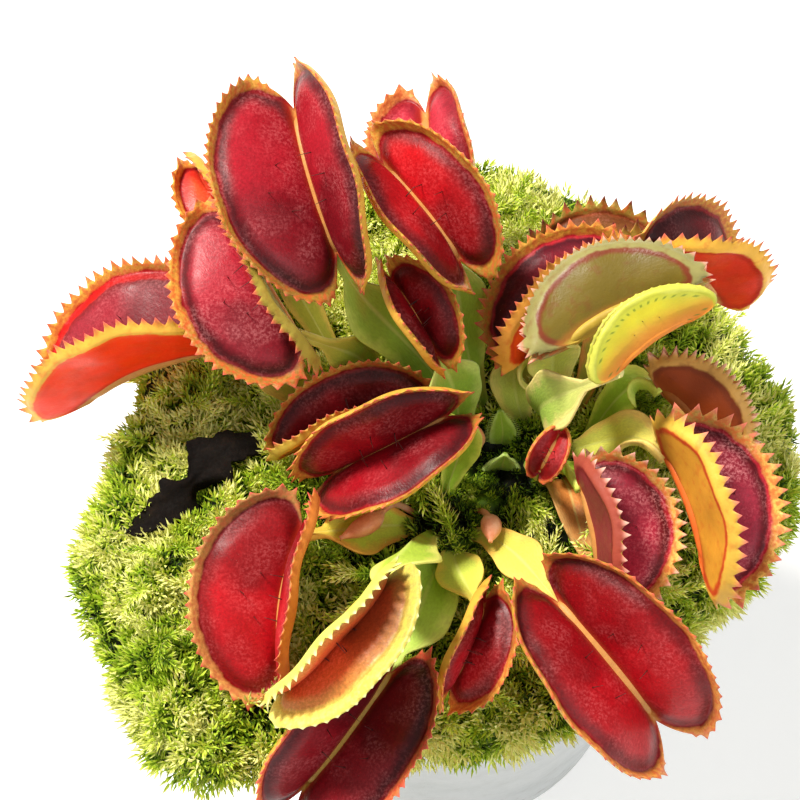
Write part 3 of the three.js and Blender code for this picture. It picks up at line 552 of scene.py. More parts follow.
def trap_material(name, size):
    """Skin of a trap, by the numbers on its points. edge: mm past the crease, to the rim. hinge: mm
    from the midrib. along: cm from the neck. tip: 1 at a tooth's tip. inner: 1 on the inner side."""
    look = LOOKS[name]
    small = shrink(size)
    g = Graph(f"trap_skin_{name}", specular=0.24)
    edge = g.wander(g.attribute("edge"), 2.4, 3, 0.3)
    place = g.plus(g.times(edge, 1 / 6), 0.5)

    def across_crease(*stops):
        """Colours by their distance from the crease, from 3 mm before it to 3 mm past it."""
        return g.ramp(place, [((mm + 3) / 6, look[key]) for mm, key in stops])

    inset = look["inset"]
    # The dark ring just inside the crease is the lobe's deeper red with painted shade of the crease
    inside = across_crease((-3, "flesh"), (max(-2.9, -2.3 - inset), "flesh"), (-0.8 - inset, "dark"),
                           (-0.4 - inset, "dark"), (-inset, "line"), (0.15, "line"), (0.7, "band"),
                           (3, "band"))
    outside = across_crease((-3, "back"), (-0.9, "back"), (-0.35, "fold"), (0.05, "fold"), (0.45, "rim"),
                            (3, "rim"))
    outside = g.blend(outside, look["fold"], g.between(g.noise(1.6, 4), 0.5, 0.72, 0.0, 0.35))
    outside = g.tone(outside, g.noise(4, 4), 0.82, 1.12)
    # Painted shade: the inner skin is darkened towards the neck and lighter towards the far end
    along = g.wander(g.attribute("along"), 5, 3, 0.25)
    inside = g.lit(inside, g.between(along, 0.0, 0.09 * size, 0.56, 1.02))
    inside = g.tone(inside, g.noise(7, 3), 0.86, 1.14)
    grain = g.noise(0.42, 2, 0.7)
    inside = g.tone(inside, grain, 0.74, 1.26)
    # Painted sheen: pale pink patches on the inner skin stand in for a highlight
    painted_sheen = g.between(grain, 0.4, 0.72, 0.0, look["sheen"])
    inside = g.blend(inside, "e8a0a0", g.times(g.between(g.noise(6, 3), 0.42, 0.66), painted_sheen))
    specks = g.between(g.add("TexVoronoi", {"Vector": g.place, "Scale": 1 / (0.42 * MM)}).outputs["Distance"],
                       0.04, 0.15)
    glint = g.between(g.noise(2.2, 2), 0.5, 0.7, 0.02, 0.2)
    inside = g.blend(g.blend(inside, "f4c8b8", glint), inside, specks)
    mottle = g.times(g.between(edge, 0.2, 0.7), g.between(g.noise(0.8, 3), 0.4, 0.62, 0.0, 0.7))
    inside = g.blend(inside, look["mottle"], mottle)
    colour = g.blend(outside, inside, g.between(g.attribute("inner"), 0.3, 0.7))
    hinge = g.wander(g.attribute("hinge"), 1.5, 2, 0.15)
    flank = g.between(hinge, 0.9 * small, look["flank_reach"] * small, 0.8, 0.0)
    colour = g.blend(colour, look["flank"], flank)
    rib = g.tone(linear(look["rib"]), g.noise(1.8, 3), 0.84, 1.16)
    colour = g.blend(colour, rib, g.between(hinge, 0.5 * small, 1.3 * small, 1.0, 0.0))
    if "dots" in look:
        rim = g.attribute("edge")
        line = g.times(g.between(rim, -0.75, -0.5), g.between(rim, -0.4, -0.15, 1.0, 0.0))
        colour = g.blend(colour, look["dots"], g.times(line, g.between(g.stripes(2.6), 0.6, 0.9, 0.0, 0.8)))
    colour = g.blend(colour, look["tip"], g.between(g.attribute("tip"), 0.2, 0.95))
    height = g.plus(g.times(specks, 0.25), g.times(g.stripes(6.0), 0.04))
    height = g.plus(height, g.times(g.noise(1.4, 4, 0.6), 0.8))
    height = g.plus(height, g.times(grain, 0.45))
    return g.finish(colour, g.between(g.noise(3, 3), 0.3, 0.7, 0.36, 0.54), height, 0.00014, 0.6)


def hair_material():
    g = Graph("trigger_hair")
    return g.finish(g.ramp(g.noise(0.8), ((0.2, "2c0a0a"), (0.8, "5a2016"))))


def leaf_material(name, middle, margin):
    """A stalk's blade: across runs from 0 at the midrib to 1 at the margin."""
    g = Graph(name, specular=0.25)
    across, along = g.attribute("across"), g.attribute("along")
    share = g.wander(across, 3, 3, 0.18)
    colour = g.ramp(share, ((0.0, middle), (0.55, middle), (0.9, margin), (1.0, margin)))
    colour = g.blend(colour, margin, g.between(along, 11, 20, 0.0, 0.7))
    colour = g.tone(colour, g.noise(5, 4), 0.95, 1.25)
    where = g.add("CombineXYZ", {"X": g.times(across, 9.0), "Y": g.times(along, 1.2)}).outputs[0]
    fibre = g.add("TexNoise", {"Vector": where, "Scale": 1.6, "Detail": 3.0}).outputs["Fac"]
    colour = g.tone(colour, fibre, 0.88, 1.1)
    colour = g.blend(colour, "c8843c", g.between(g.noise(9, 2), 0.58, 0.74, 0.0, 0.35))
    colour = g.blend(colour, "dfe08a", g.between(across, 0.0, 0.12, 0.4, 0.0))
    height = g.plus(fibre, g.times(g.noise(0.5, 3), 0.35))
    return g.finish(colour, g.between(fibre, 0.3, 0.7, 0.34, 0.52), height, 0.00015, 0.6)


def plain_material(name, stops, grain, gloss, depth=0.0002, fine=0.3, specular=0.5):
    """A skin whose colour wanders through a few stops, with a fine bump."""
    g = Graph(name, specular=specular)
    colour = g.ramp(g.noise(grain, 5, 0.6), stops)
    height = g.noise(fine, 4, 0.6)
    return g.finish(colour, g.between(height, 0.3, 0.7, gloss - 0.08, gloss + 0.08), height, depth, 0.6)


def moss_material():
    """Moss: tall runs from 0 at a sprig's foot to 1 at its tips, tint differs from sprig to sprig.
    The near black at the foot is the stems' darker colour with painted shade deep in the mat; tint
    also carries painted shade in the hollows and under the plant.
    """
    g = Graph("moss_leaf", roughness=0.55, specular=0.3)
    tall = g.plus(g.attribute("tall"), g.between(g.attribute("tint"), 0, 1, -0.3, 0.22))
    patch = g.between(g.noise(9, 3), 0.36, 0.62, -0.26, 0.18)
    colour = g.ramp(g.plus(tall, patch), (
        (0.0, "070c02"), (0.2, "1c2e06"), (0.42, "587c10"), (0.62, "a6c62a"), (0.82, "d6e450"),
        (1.0, "f2f29a")))
    colour = g.blend(colour, "a0703a", g.between(g.noise(4, 3), 0.7, 0.8, 0.0, 0.2))
    return g.finish(colour, None, g.noise(0.4, 3), 0.0001, 0.4)


def pot_material():
    """Grey plastic, with soil splashed up from the foot and green damp under the rim."""
    g = Graph("pot_plastic")
    colour = g.ramp(g.noise(14, 5, 0.6), ((0.3, "b0b4b3"), (0.55, "b8bbba"), (0.8, "bec1bf")))
    height = g.add("SeparateXYZ", {"Vector": g.place}).outputs["Z"]
    soil = g.times(g.between(height, 0.0, 0.03, 1.0, 0.15), g.between(g.noise(3, 6, 0.7), 0.5, 0.7))
    colour = g.blend(colour, "6a5844", g.times(soil, 0.6))
    damp = g.times(g.between(height, 0.066, 0.084), g.between(g.noise(5, 4), 0.45, 0.65))
    colour = g.blend(colour, "77805a", g.times(damp, 0.6))
    scuffs = g.between(g.noise(9, 6, 0.7), 0.4, 0.7, 0.38, 0.6)
    return g.finish(colour, scuffs, g.plus(g.noise(0.5, 3), g.noise(12, 2)), 0.00012, 0.5)


# Traps
def trap_axes(aim):
    heading, rise, roll = aim
    x = direction(heading, rise)
    side = unit(np.cross((0, 0, 1), x))
    y = side * math.cos(math.radians(roll)) + np.cross(x, side) * math.sin(math.radians(roll))
    return x, y, np.cross(x, y)


def lobe_size(leaf):
    return LOBE["long"] * leaf["size"], LOBE["deep"] * leaf["size"] * leaf.get("wide", 1)


def blade_points(leaf, side, s, t, lift=0.0, out=0.0, rise=0.0, normal=(0.0, 1.0)):
    """Points of a lobe: s along the midrib, t away from it, lift towards the mouth; out and rise
    go past the blade along the rim's normal and towards the mouth."""
    x, y, z = trap_axes(leaf["aim"])
    s, t = np.asarray(s, float), np.asarray(t, float)
    curl = math.radians(leaf.get("curl", 18))
    lean = math.radians(leaf["open"][0 if side > 0 else 1]) - curl / 2
    depth = lobe_size(leaf)[1] * (1 + LOBE["hinge"])
    turn = lean + curl * np.maximum(t, 0) / depth
    radius = depth / curl
    aside = np.where(t < 0, t * math.sin(lean), radius * (math.cos(lean) - np.cos(turn)))
    up = np.where(t < 0, t * math.cos(lean), radius * (np.sin(turn) - math.sin(lean)))
    half = leaf["size"] / 2
    droop = 0.5 * leaf.get("arch", 0.14) * leaf["size"] * ((s - half) / half) ** 2
    inward = lift + rise
    local_y = side * (aside + out * normal[1] * np.sin(turn) - inward * np.cos(turn))
    local_z = up - droop + out * normal[1] * np.cos(turn) + inward * np.sin(turn)
    local_x = s + out * normal[0]
    local = (part[..., None] * axis for part, axis in ((local_x, x), (local_y, y), (local_z, z)))
    return sum(local, np.asarray(leaf["at"], float))


def rim_line(leaf):
    """The lobe's rim in (s, t): an ellipse that the midrib cuts, from the neck to the far end."""
    long_, deep = lobe_size(leaf)
    first = -math.asin(LOBE["hinge"])
    angle = np.linspace(math.pi - first, first, 600)
    s = LOBE["middle"] * leaf["size"] + long_ * np.cos(angle)
    t = LOBE["hinge"] * deep + deep * np.sin(angle)
    return np.stack([s, np.maximum(t, 0)], -1)


class Lobe:
    """One lobe's outline: the columns of its shell, run round the rim and back along the midrib."""

    def __init__(self, leaf, side, rng):
        self.leaf, self.side = leaf, side
        self.size = leaf["size"]
        self.small = shrink(self.size)
        scale = mix(0.6, 1, self.small)
        rim = {**RIM, **dict(zip(RIM, RIMS.get(leaf["name"], ())))}
        rim = {key: value[side < 0] if isinstance(value, tuple) else value for key, value in rim.items()}
        line = rim_line(leaf)
        length = np.linalg.norm(np.diff(line, axis=0), axis=1).sum()
        teeth = int(round(length / (rim["pitch"] * scale)))
        self.rim = even(line, teeth * len(TOOTH))
        back = max(10, int(self.size * 1.3))
        spots = np.linspace(self.rim[-1, 0], self.rim[0, 0], back + 1)[1:-1]
        self.loop = np.concatenate([self.rim, np.stack([spots, np.zeros(back - 1)], -1)])
        self.columns = len(self.loop)
        self.centre = np.array([LOBE["middle"] * self.size, LOBE["hinge"] * lobe_size(leaf)[1]])

        count = len(self.rim)
        tangent = unit(np.gradient(self.rim, axis=0))
        outward = np.stack([-tangent[:, 1], np.maximum(tangent[:, 0], -0.3)], -1)
        self.normal = self.padded(unit(outward), (0, -1))
        self.along = self.padded(tangent, (0, 0))
        depth = self.rim[:, 1] / self.size
        self.band = self.padded(rim["band"] * scale * mix(0.16, 1, smooth(depth / 0.32)), 0)
        self.grown = self.padded(smooth((depth - 0.08) / 0.22), 0)
        tooth = np.minimum(np.arange(count) // len(TOOTH), teeth - 1)
        self.tall = self.padded(np.array(TOOTH)[np.arange(count) % len(TOOTH)], 0)
        high = rng.uniform(*UNLIKE["height"], teeth)[tooth]
        self.height = self.padded(rim["height"] * scale * high, 0) * self.grown
        lean = rng.uniform(-UNLIKE["lean"], UNLIKE["lean"], teeth)[tooth]
        self.sway = self.padded(np.radians(lean), 0)
        upright = smooth((self.normal[:, 1] + 0.4) / 0.8)
        self.tilt = np.radians(leaf.get("tilt", rim["tilt"])) * upright
        self.phase = rng.uniform(0, 6)

    def padded(self, values, rest):
        """Values for the rim's columns, and one value for all the columns along the midrib."""
        values = np.asarray(values, float)
        full = np.empty((self.columns,) + values.shape[1:])
        full[:] = rest
        full[:len(values)] = values
        return full

    def splayed(self, st):
        """Points of the flat lobe, turned away from the other lobe at the far end."""
        s, t = st[..., 0], st[..., 1]
        turn = math.radians(self.leaf.get("splay", 0)) * smooth(t / (0.25 * self.size))
        return s * np.cos(turn) - t * np.sin(turn), s * np.sin(turn) + t * np.cos(turn)

    def gap(self, st):
        """How far points of the lobe lie from its rim."""
        flat = st.reshape(-1, 2)
        return np.linalg.norm(flat[:, None] - self.rim[None], axis=2).min(axis=1).reshape(st.shape[:-1])

    def wave(self, st):
        s, t = self.splayed(st)
        high = PAD["wave"] * self.small * smooth(t / (0.6 * self.size))
        return high * np.sin(PAD["wave_pitch"] * s + self.phase)

    def lift(self, st, sign):
        """Height of the inner (1) or outer (-1) skin over the lobe's middle surface."""
        gap = self.gap(st)
        thick = mix(PAD["rim"], PAD["middle"] * max(0.75, self.small), smooth(gap / 3))
        if sign > 0:
            bulge = PAD["bulge"] * smooth(gap / 2.2) * smooth(st[..., 1] / 3.0)
        else:
            bulge = PAD["back_bulge"] * smooth(gap / 4)
        return sign * (thick + bulge * self.small) + self.wave(st)

    def place(self, st, *reach):
        return blade_points(self.leaf, self.side, *self.splayed(st), *reach)


def add_lobe(body, leaf, side, rng):
    """One lobe as a closed shell: a cupped pad, a crease, a band and a row of thorny teeth."""
    lobe = Lobe(leaf, side, rng)
    loop, columns, band = lobe.loop, lobe.columns, lobe.band
    wave = lobe.wave(loop)
    reach = np.maximum(band, 0.08)
    fold = lobe.tilt + lobe.sway * lobe.grown
    middle = lobe.centre[None]
    past_hinge = loop[:, 1] + 2 * lobe.grown + 0.6 * band
    outer_rings = []
    for sign in (1, -1):
        pads = lobe.centre + np.array(PAD_ROWS[sign])[:, None, None] * (loop - lobe.centre)
        rows = [lobe.place(pads, lobe.lift(pads, sign))]
        edges, tips, hinges = [-lobe.gap(pads)], [np.zeros(pads.shape[:2])], [pads[..., 1]]

        def add_row(points, edge, tip):
            for kept, values in ((rows, points), (edges, edge), (tips, tip), (hinges, past_hinge)):
                kept.append(values[None])

        for share, thick in BAND_ROWS:
            r = np.maximum(band * share, 0.04 * (1 + share))
            bent = lobe.tilt * (0.45 + 0.55 * share)
            spot = lobe.place(loop, sign * thick + wave, r * np.cos(bent), r * np.sin(bent), lobe.normal.T)
            add_row(spot, r, np.zeros(columns))
        for k, share in enumerate(TOOTH_ROWS):
            h = np.maximum(lobe.height * lobe.tall * share, 0.03 * (k + 1))
            out = reach * np.cos(lobe.tilt) + h * np.cos(fold)
            rise = reach * np.sin(lobe.tilt) + h * np.sin(fold)
            across = lobe.normal * out[:, None] + lobe.along * (0.12 * h)[:, None]
            far = np.maximum(np.linalg.norm(across, axis=1), 1e-6)
            thin = mix(0.26 * (1 + 0.25 * lobe.tall), 0.06, share)
            spot = lobe.place(loop, sign * thin + wave, far, rise, (across / far[:, None]).T)
            add_row(spot, reach + h, lobe.tall * share * lobe.grown)
        points = np.concatenate(rows).reshape(-1, 3)
        count = len(points) // columns
        outer_rings.append(body.count + len(points) - columns + np.arange(columns))
        body.shell(np.concatenate([points, lobe.place(middle, lobe.lift(middle, sign))]),
                   grid_faces(count, columns), fan(count * columns, np.arange(columns), flip=True),
                   edge=np.append(np.concatenate(edges), -lobe.gap(middle)),
                   tip=np.append(np.concatenate(tips), 0),
                   inner=1.0 if sign > 0 else 0.0,
                   along=np.append(np.tile(loop[:, 0], count), lobe.centre[0]) / 10,
                   hinge=np.append(np.concatenate(hinges), lobe.centre[1]))
    near, far = outer_rings
    body.add_faces(np.stack([near, np.roll(near, -1), np.roll(far, -1), far], -1))
    add_trigger_hairs(body, lobe, rng)


def add_trigger_hairs(body, lobe, rng):
    facing = trap_axes(lobe.leaf["aim"])[0]
    for ds, dt in HAIR["spots"]:
        spot = np.array([[lobe.centre[0] + ds * lobe.size, dt * lobe.centre[1]]])
        over = spot + rng.uniform(-HAIR["sway"], HAIR["sway"], 2)
        skin = lobe.lift(spot, 1)
        foot = lobe.place(spot, skin - 0.1)[0]
        top = lobe.place(over, skin + HAIR["length"] * lobe.small)[0]
        sweep(body, np.linspace(foot, top, 5), facing,
              lambda u: circle(mix(HAIR["foot"], HAIR["tip"], u) * mix(0.7, 1, lobe.small), 5), skin=1)


def add_midrib(body, leaf):
    """The thick rib that both lobes hinge on, swollen in the middle."""
    size = leaf["size"]
    small = shrink(size) * leaf.get("rib", 1)
    u = np.linspace(-0.015, LOBE["rib_end"] + 0.015, 34)
    _, _, z = trap_axes(leaf["aim"])
    path = blade_points(leaf, 1, u * size, np.zeros(len(u))) + MIDRIB["raised"] * small * z

    def section(k):
        swell = math.sin(MIDRIB["swell"] * max(mix(u[0], u[-1], k), 0))
        taper = small * math.sqrt(max(0.03, 1 - abs(2 * k - 1) ** 6))
        return circle(taper, 14) * (MIDRIB["width"] + MIDRIB["more_width"] * swell,
                                    MIDRIB["height"] + MIDRIB["more_height"] * swell)

    sweep(body, path, z, section, edge=-9.0, hinge=0.0, inner=1.0, along=0.0)


hair = hair_material()
for number, leaf in enumerate(LEAVES):
    name = leaf["name"]
    rng = np.random.default_rng(SEEDS["trap"] + number)
    body = Body("edge", "hinge", "inner", "tip", "along")
    for side in (1, -1):
        add_lobe(body, leaf, side, rng)
    add_midrib(body, leaf)
    body.finish(f"flytrap_{name}", [trap_material(name, leaf["size"]), hair], "trap", [f"trap_{name}"])


# Stalks and other leaves
def stalk_width(leaf, u):
    shoulder = leaf.get("shoulder", 0.6)
    rise = mix(0.3, 1, smooth(u / leaf.get("broad", 0.6)))
    fall = mix(1, 0, smooth((u - shoulder) / (0.92 - shoulder)))
    return np.maximum(STALK["neck"], leaf["blade"] / 2 * np.minimum(rise, fall))


def stalk_path(leaf):
    crown = CROWNS[leaf["crown"]]
    out = direction(*leaf["root"])
    start = np.array(crown["at"]) + out * (crown["bulb"] + STALK["gap"] + STALK["clear"])
    neck = blade_points(leaf, 1, np.array([0.0, 0.05 * leaf["size"]]), np.zeros(2))
    into = unit(neck[1] - neck[0])
    end = neck[0] + 0.2 * into
    span = np.linalg.norm(end - start)
    bend = leaf.get("bend") or (start + STALK_BEND["leave"] * span * out,
                                end - STALK_BEND["arrive"] * span * into)
    return bezier((start, *bend, end), np.linspace(0, 1, STALK["steps"] + 1))


def blade_section(half, fold, thin, keel, wave=0.0):
    """The outline across a leaf: its columns over the top and back under it, with a keel between."""
    across, far = ACROSS * half, np.abs(ACROSS)
    lift = half * np.tan(np.radians(fold)) * far ** BLADE["lift"] + wave * far ** 2 * np.sign(ACROSS)
    thick = thin * (1 - BLADE["thinner"] * far ** 2)
    groove = BLADE["groove"] * np.exp(-(across / BLADE["groove_reach"]) ** 2)
    ridge = (keel - thin) * np.exp(-(across / BLADE["ridge_reach"]) ** 2)
    top = np.stack([across, lift + thick - groove], -1)
    under = np.stack([across, lift - thick - ridge], -1)
    return np.concatenate([top, under[::-1]])


def tapered(half, least, start, u):
    """The half width of a small leaf, rounded off towards both its ends."""
    return max(least, half * math.sin(math.pi * mix(start, 0.97, u)) ** 0.8)


def add_stalk(body, leaf, rng):
    path = stalk_path(leaf)
    mouth = unit(leaf["face"]) if "face" in leaf else trap_axes(leaf["aim"])[2]
    upwards = mouth if "face" in leaf else unit((0, -0.4, 1))
    share = np.linspace(0, 1, len(path))
    facing = mix(upwards, mouth, smooth((share - 0.4) / 0.6)[:, None])
    phase = rng.uniform(0, 6, 2)

    def section(u):
        half = float(stalk_width(leaf, u))
        broad = smooth((half - 1.0) / 1.5)
        wave = STALK_BEND["wave"] * broad * math.sin(STALK_BEND["waves"] * u + phase[0])
        half *= 1 + STALK_BEND["stray"] * math.sin(STALK_BEND["strays"] * u + phase[1])
        thin = mix(STALK["narrow_half"], STALK["half"], broad)
        return blade_section(half, STALK["fold"], thin, STALK["keel"], wave)

    sweep(body, path, facing, section, across=lambda u: RING, along=lambda u: u * len(path) / 2)


for number, leaf in enumerate(LEAVES):
    name = leaf["name"]
    body = Body("across", "along")
    add_stalk(body, leaf, np.random.default_rng(SEEDS["stalk"] + number))
    skin = leaf_material(f"petiole_skin_{name}", *STALK_LOOKS.get(name, GREEN))
    body.finish(f"petiole_{name}", [skin], "stalk", [f"stalk_{name}"])


def bud_outline(u):
    """A thin stem that swells into a seamed head."""
    head = 0
    if u > BUD["start"]:
        share = mix(0.1, 0.985, (u - BUD["start"]) / (1 - BUD["start"]))
        head = BUD["head"] * math.sin(math.pi * min(1, share))
    stem = BUD["foot"] - BUD["taper"] * u if u < 0.6 else 0
    around = np.linspace(0, 2, 14, endpoint=False)
    seam = 1 - 0.1 * np.exp(-((around - 0.5) / 0.12) ** 2) * (u > 0.57)
    return circle(max(BUD["least"], stem, head), 14) * seam[:, None] * (1.0, 0.88)


bud_skin = plain_material("bud_skin", ((0.3, "d87c50"), (0.5, "ee9e74"), (0.7, "f8c4a0")), 3, 0.35)
for name, corners in BUDS.items():
    body = Body()
    sweep(body, spline(corners, 40), (0.2, 0.1, 1.0), bud_outline)
    body.finish(f"small_{name}", [bud_skin], "bud", [name])

young_skin = leaf_material("young_skin", "a8cc50", "cce484")
for name, (corners, half) in YOUNG_LEAVES.items():
    body = Body("across", "along")
    path = spline(corners, FRINGE["rows"])
    facing = unit((0, -0.8, 0.4))
    sweep(body, path, facing,
          lambda u: blade_section(tapered(half, 0.45, 0.1, u), fold=12, thin=0.35, keel=0.5),
          across=lambda u: RING, along=lambda u: 8 * u)
    along, across, up = frames(path, facing)
    for k in range(FRINGE["first"], FRINGE["rows"]):
        reach = tapered(half, 0.45, 0.1, k / FRINGE["rows"])
        for side in (-1, 1):
            foot = path[k] + side * across[k] * reach * 0.95 + up[k] * 0.3
            tip = foot + (side * across[k] + 0.5 * along[k] + 0.2 * up[k]) * FRINGE["length"]
            sweep(body, np.linspace(foot, tip, 3), up[k],
                  lambda u: circle(mix(FRINGE["foot"], FRINGE["tip"], u), 4), across=1.0)
    body.finish(f"fringed_{name}", [young_skin], "young_leaf", [name])

body = Body("across", "along")
sweep(body, spline(OLD_STALK, 40), (0, 0, 1.0),
      lambda u: blade_section(tapered(3.2, 0.5, 0.25, u), fold=10, thin=0.4, keel=0.75,
                              wave=0.4 * math.sin(9 * u)),
      across=lambda u: RING, along=lambda u: 20 * u)
body.finish("dried_stalk", [leaf_material("dried_skin", "c87c3c", "e4ac68")], "old_leaf", ["old_stalk"])


def crumpled(u):
    """Across the dead leaf: creased, torn along its margins and pinched in the middle."""
    pinch = CRUMPLE["pinch"] * math.exp(-((u - 0.5) / CRUMPLE["pinch_reach"]) ** 2)
    half = tapered(CRUMPLE["half"], 0.5, 0.1, u) * (1 - pinch)
    across = np.linspace(1, -1, 15)
    crease = 0.9 * np.sin(9 * u) * across + 0.22 * np.sin(15 * u + 3 * across)
    crease += 0.12 * np.sin(7 * across + 9 * u)
    torn = 1 + 0.1 * math.sin(23 * u) + 0.13 * math.sin(41 * u + 1) + 0.06 * math.sin(97 * u)
    thick = CRUMPLE["thick"] - CRUMPLE["thinner"] * across ** 2
    top, under = (np.stack([across * half * torn, crease + way * thick], -1) for way in (1, -1))
    return np.concatenate([top, under[::-1]])


body = Body()
sweep(body, spline(DEAD_LEAF, 60), (0.2, 0, 1.0), crumpled)
dead_skin = plain_material("dead_skin", ((0.3, "060302"), (0.6, "100a06"), (0.85, "261a10")), 2.5, 0.8,
                           depth=0.0003, fine=0.5, specular=0.12)
body.finish("withered_leaf", [dead_skin], "dead_leaf", ["dead_leaf"])


# Rhizomes: scaly pale bulbs with roots
def bulb_rings(r, rows=22, columns=32, scale=0.42):
    """Rings from the top of a bulb to its foot, with rows of scales that overlap."""
    down = np.linspace(0.06, math.pi - 0.06, rows)[:, None]
    turn = np.linspace(0, 2 * math.pi, columns, endpoint=False)[None]
    bulge = 1 - 0.07 * ((down / scale) % 1) + 0.03 * np.cos(5 * turn + 2 * np.floor(down / scale))
    return turned(r * bulge * np.sin(down), 0.95 * r * bulge * np.cos(down), turn)


rhizome_skin = plain_material("rhizome_skin", ((0.3, "b8a678"), (0.55, "e0d4a8"), (0.8, "d8c890")), 2, 0.5)
for key, crown in CROWNS.items():
    body = Body()
    r = crown["bulb"] * 0.97
    ends = np.array(crown["at"]) + [(0, 0, 0.93 * r), (0, 0, -0.93 * r)]
    body.shell(*capped(bulb_rings(r) + crown["at"], ends, flip=True))
    for heading in ROOT["headings"]:
        path = np.array([polar(heading + ROOT["turn"] * u, ROOT["start"] + ROOT["spread"] * u,
                               -ROOT["length"] * u - ROOT["sunk"]) for u in np.linspace(0, 1, 14)])
        sweep(body, path + crown["at"], (1, 0.2, 0.0), lambda u: circle(mix(ROOT["top"], ROOT["end"], u), 8))
    body.finish(f"bulb_{key}", [rhizome_skin], "rhizome", [f"rhizome_{key}"])


# Moss
def lumps(x, y):
    return (0.5 * np.sin(0.31 * x + 1.3) * np.cos(0.27 * y - 0.4)
            + 0.3 * np.sin(0.62 * x - 0.5 * y + 2) + 0.2 * np.cos(0.9 * x + 0.8 * y))


def moss_edge(turn):
    """How far the moss reaches at a heading in degrees."""
    turn = np.asarray(turn) % 360
    table = np.array(MOSS_EDGE + ((360, MOSS_EDGE[0][1]),), float)
    k = np.clip(np.searchsorted(table[:, 0], turn, side="right"), 1, len(table) - 1)
    low, high = table[k - 1], table[k]
    return mix(low[..., 1], high[..., 1], smooth((turn - low[..., 0]) / (high[..., 0] - low[..., 0])))


def moss_height(x, y):
    far = np.hypot(x, y) / moss_edge(np.degrees(np.arctan2(y, x)))
    return MOSS["middle"] - MOSS["edge_drop"] * far ** 3 + MOSS["lump"] * lumps(x, y)


moss_rng = np.random.default_rng(SEEDS["moss"])
steps = np.arange(-CLUMPS["reach"], CLUMPS["reach"], CLUMPS["step"])
clumps = np.array([(x, y) for x in steps for y in steps])
clumps = clumps + moss_rng.uniform(-CLUMPS["shift"], CLUMPS["shift"], clumps.shape)
clump_size = moss_rng.uniform(*CLUMPS["size"], len(clumps))


def clump(x, y):
    """Low cushions in the moss: 1 at the middle of one, 0 in the hollows between them."""
    flat = np.stack([np.ravel(x), np.ravel(y)], -1)
    gap = np.linalg.norm(flat[:, None] - clumps[None], axis=2) / clump_size
    return np.clip(1 - gap.min(axis=1) ** 2, 0, 1).reshape(np.shape(x))


def heart(x, y):
    """1 in the open middle of the plant, where the moss is low and grows long shoots, 0 away from it."""
    near = np.hypot(x - MOSS["heart"][0], y - MOSS["heart"][1])
    return np.exp(-(near / MOSS["heart_reach"]) ** 2)


def base_height(x, y):
    """The bed under the sprigs, mounded over the crowns."""
    near = np.min([np.hypot(x - c["at"][0], y - c["at"][1]) for c in CROWNS.values()], axis=0)
    mound = MOSS["mound"] * np.exp(-(near / MOSS["mound_reach"]) ** 2)
    return moss_height(x, y) - MOSS["lowered"] + MOSS["clump"] * clump(x, y) + mound


def bed_rings():
    """Rings of the moss bed: out over its top, down its hanging edge, and back in under it."""
    turns = np.linspace(0, 360, MOSS["around"], endpoint=False)
    edge, turn = moss_edge(turns), np.radians(turns)
    top = []
    for share in np.linspace(0.02, MOSS["brink"], BED["rows"]):
        r = edge * share
        top.append(turned(r, base_height(r * np.cos(turn), r * np.sin(turn)), turn))
    crest = top[-1][:, 2]
    low = MOSS["hem"] + BED["hem_wave"] * np.sin(np.radians(BED["hem_waves"] * turns))
    for drop in np.linspace(0.1, 1, BED["edge_rows"]):
        wide = MOSS["brink"] + BED["bulge"] * math.sin(math.pi * min(1, 1.1 * drop))
        wave = BED["side_wave"] * np.sin(np.radians(BED["side_waves"] * turns) + 3 * drop)
        r = edge * wide + wave * math.sin(math.pi * drop)
        top.append(turned(r, mix(crest, low, drop ** 1.2), turn))
    collar = POT["rim"] + 0.5
    inside = POT["rim"] - POT["wall"] - POT["lip"] - MOSS["clear"]
    over, floor = POT["height"] + 0.6, PEAT_TOP + MOSS["clear"]
    under = [(np.minimum(collar, edge * 0.93), MOSS["hem"] + 0.8), (collar, over), (inside, over),
             (inside, floor), (2, floor)]
    return np.array(top + [turned(r, z, turn) for r, z in under]), len(top)


rings, top_rows = bed_rings()
ends = [(0, 0, base_height(0.0, 0.0)), (0, 0, PEAT_TOP + MOSS["clear"])]
bed, quads, tris = capped(rings, ends)
body = Body("tall", "tint")
# Painted shade: the bed takes the dark foot of the moss colours, darkest in the hollows between clumps
body.shell(bed, quads, tris, tall=0.04 + 0.26 * clump(bed[:, 0], bed[:, 1]), tint=0.5)
moss_skin = moss_material()
body.finish("moss_bed", [moss_skin], "moss", ["moss"])


def plant_tree():
    """The leaves' and buds' solids, as a tree to look up where a sprig would run into one."""
    verts, faces = [], []
    for name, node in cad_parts.items():
        if name in ("pot", "peat", "moss") or name.startswith("rhizome"):
            continue
        shift = len(verts)
        verts.extend(node.matrix_world @ v.co for v in node.data.vertices)
        faces.extend([shift + k for k in p.vertices] for p in node.data.polygons)
    return BVHTree.FromPolygons(verts, faces)


def sprig_shape():
    """One sprig of moss, 1 tall: slim leaves, each folded along its middle, set in a spiral."""
    points, tris, tall = [], [], []
    for k in range(SPRIG["leaves"]):
        share = k / (SPRIG["leaves"] - 1)
        at = mix(0.12, 0.78, share)
        size = mix(0.56, 0.4, share)
        aim = direction(SPIRAL * k, mix(12, 66, share))
        aside = direction(SPIRAL * k + 90, 0)
        over = np.cross(aim, aside)
        foot = np.array([0, 0, at])
        middle = foot + 0.45 * size * aim - SPRIG["fold"] * over
        wing = SPRIG["wing"] * aside
        first = len(points)
        points.extend([foot, middle + wing, foot + size * aim + 0.05 * over, middle - wing])
        tall.extend([at - 0.05, at + 0.15, min(1, at + 0.4), at + 0.15])
        tris.extend([(first, first + 1, first + 2), (first, first + 2, first + 3)])
    return np.array(points), np.array(tris), np.array(tall)


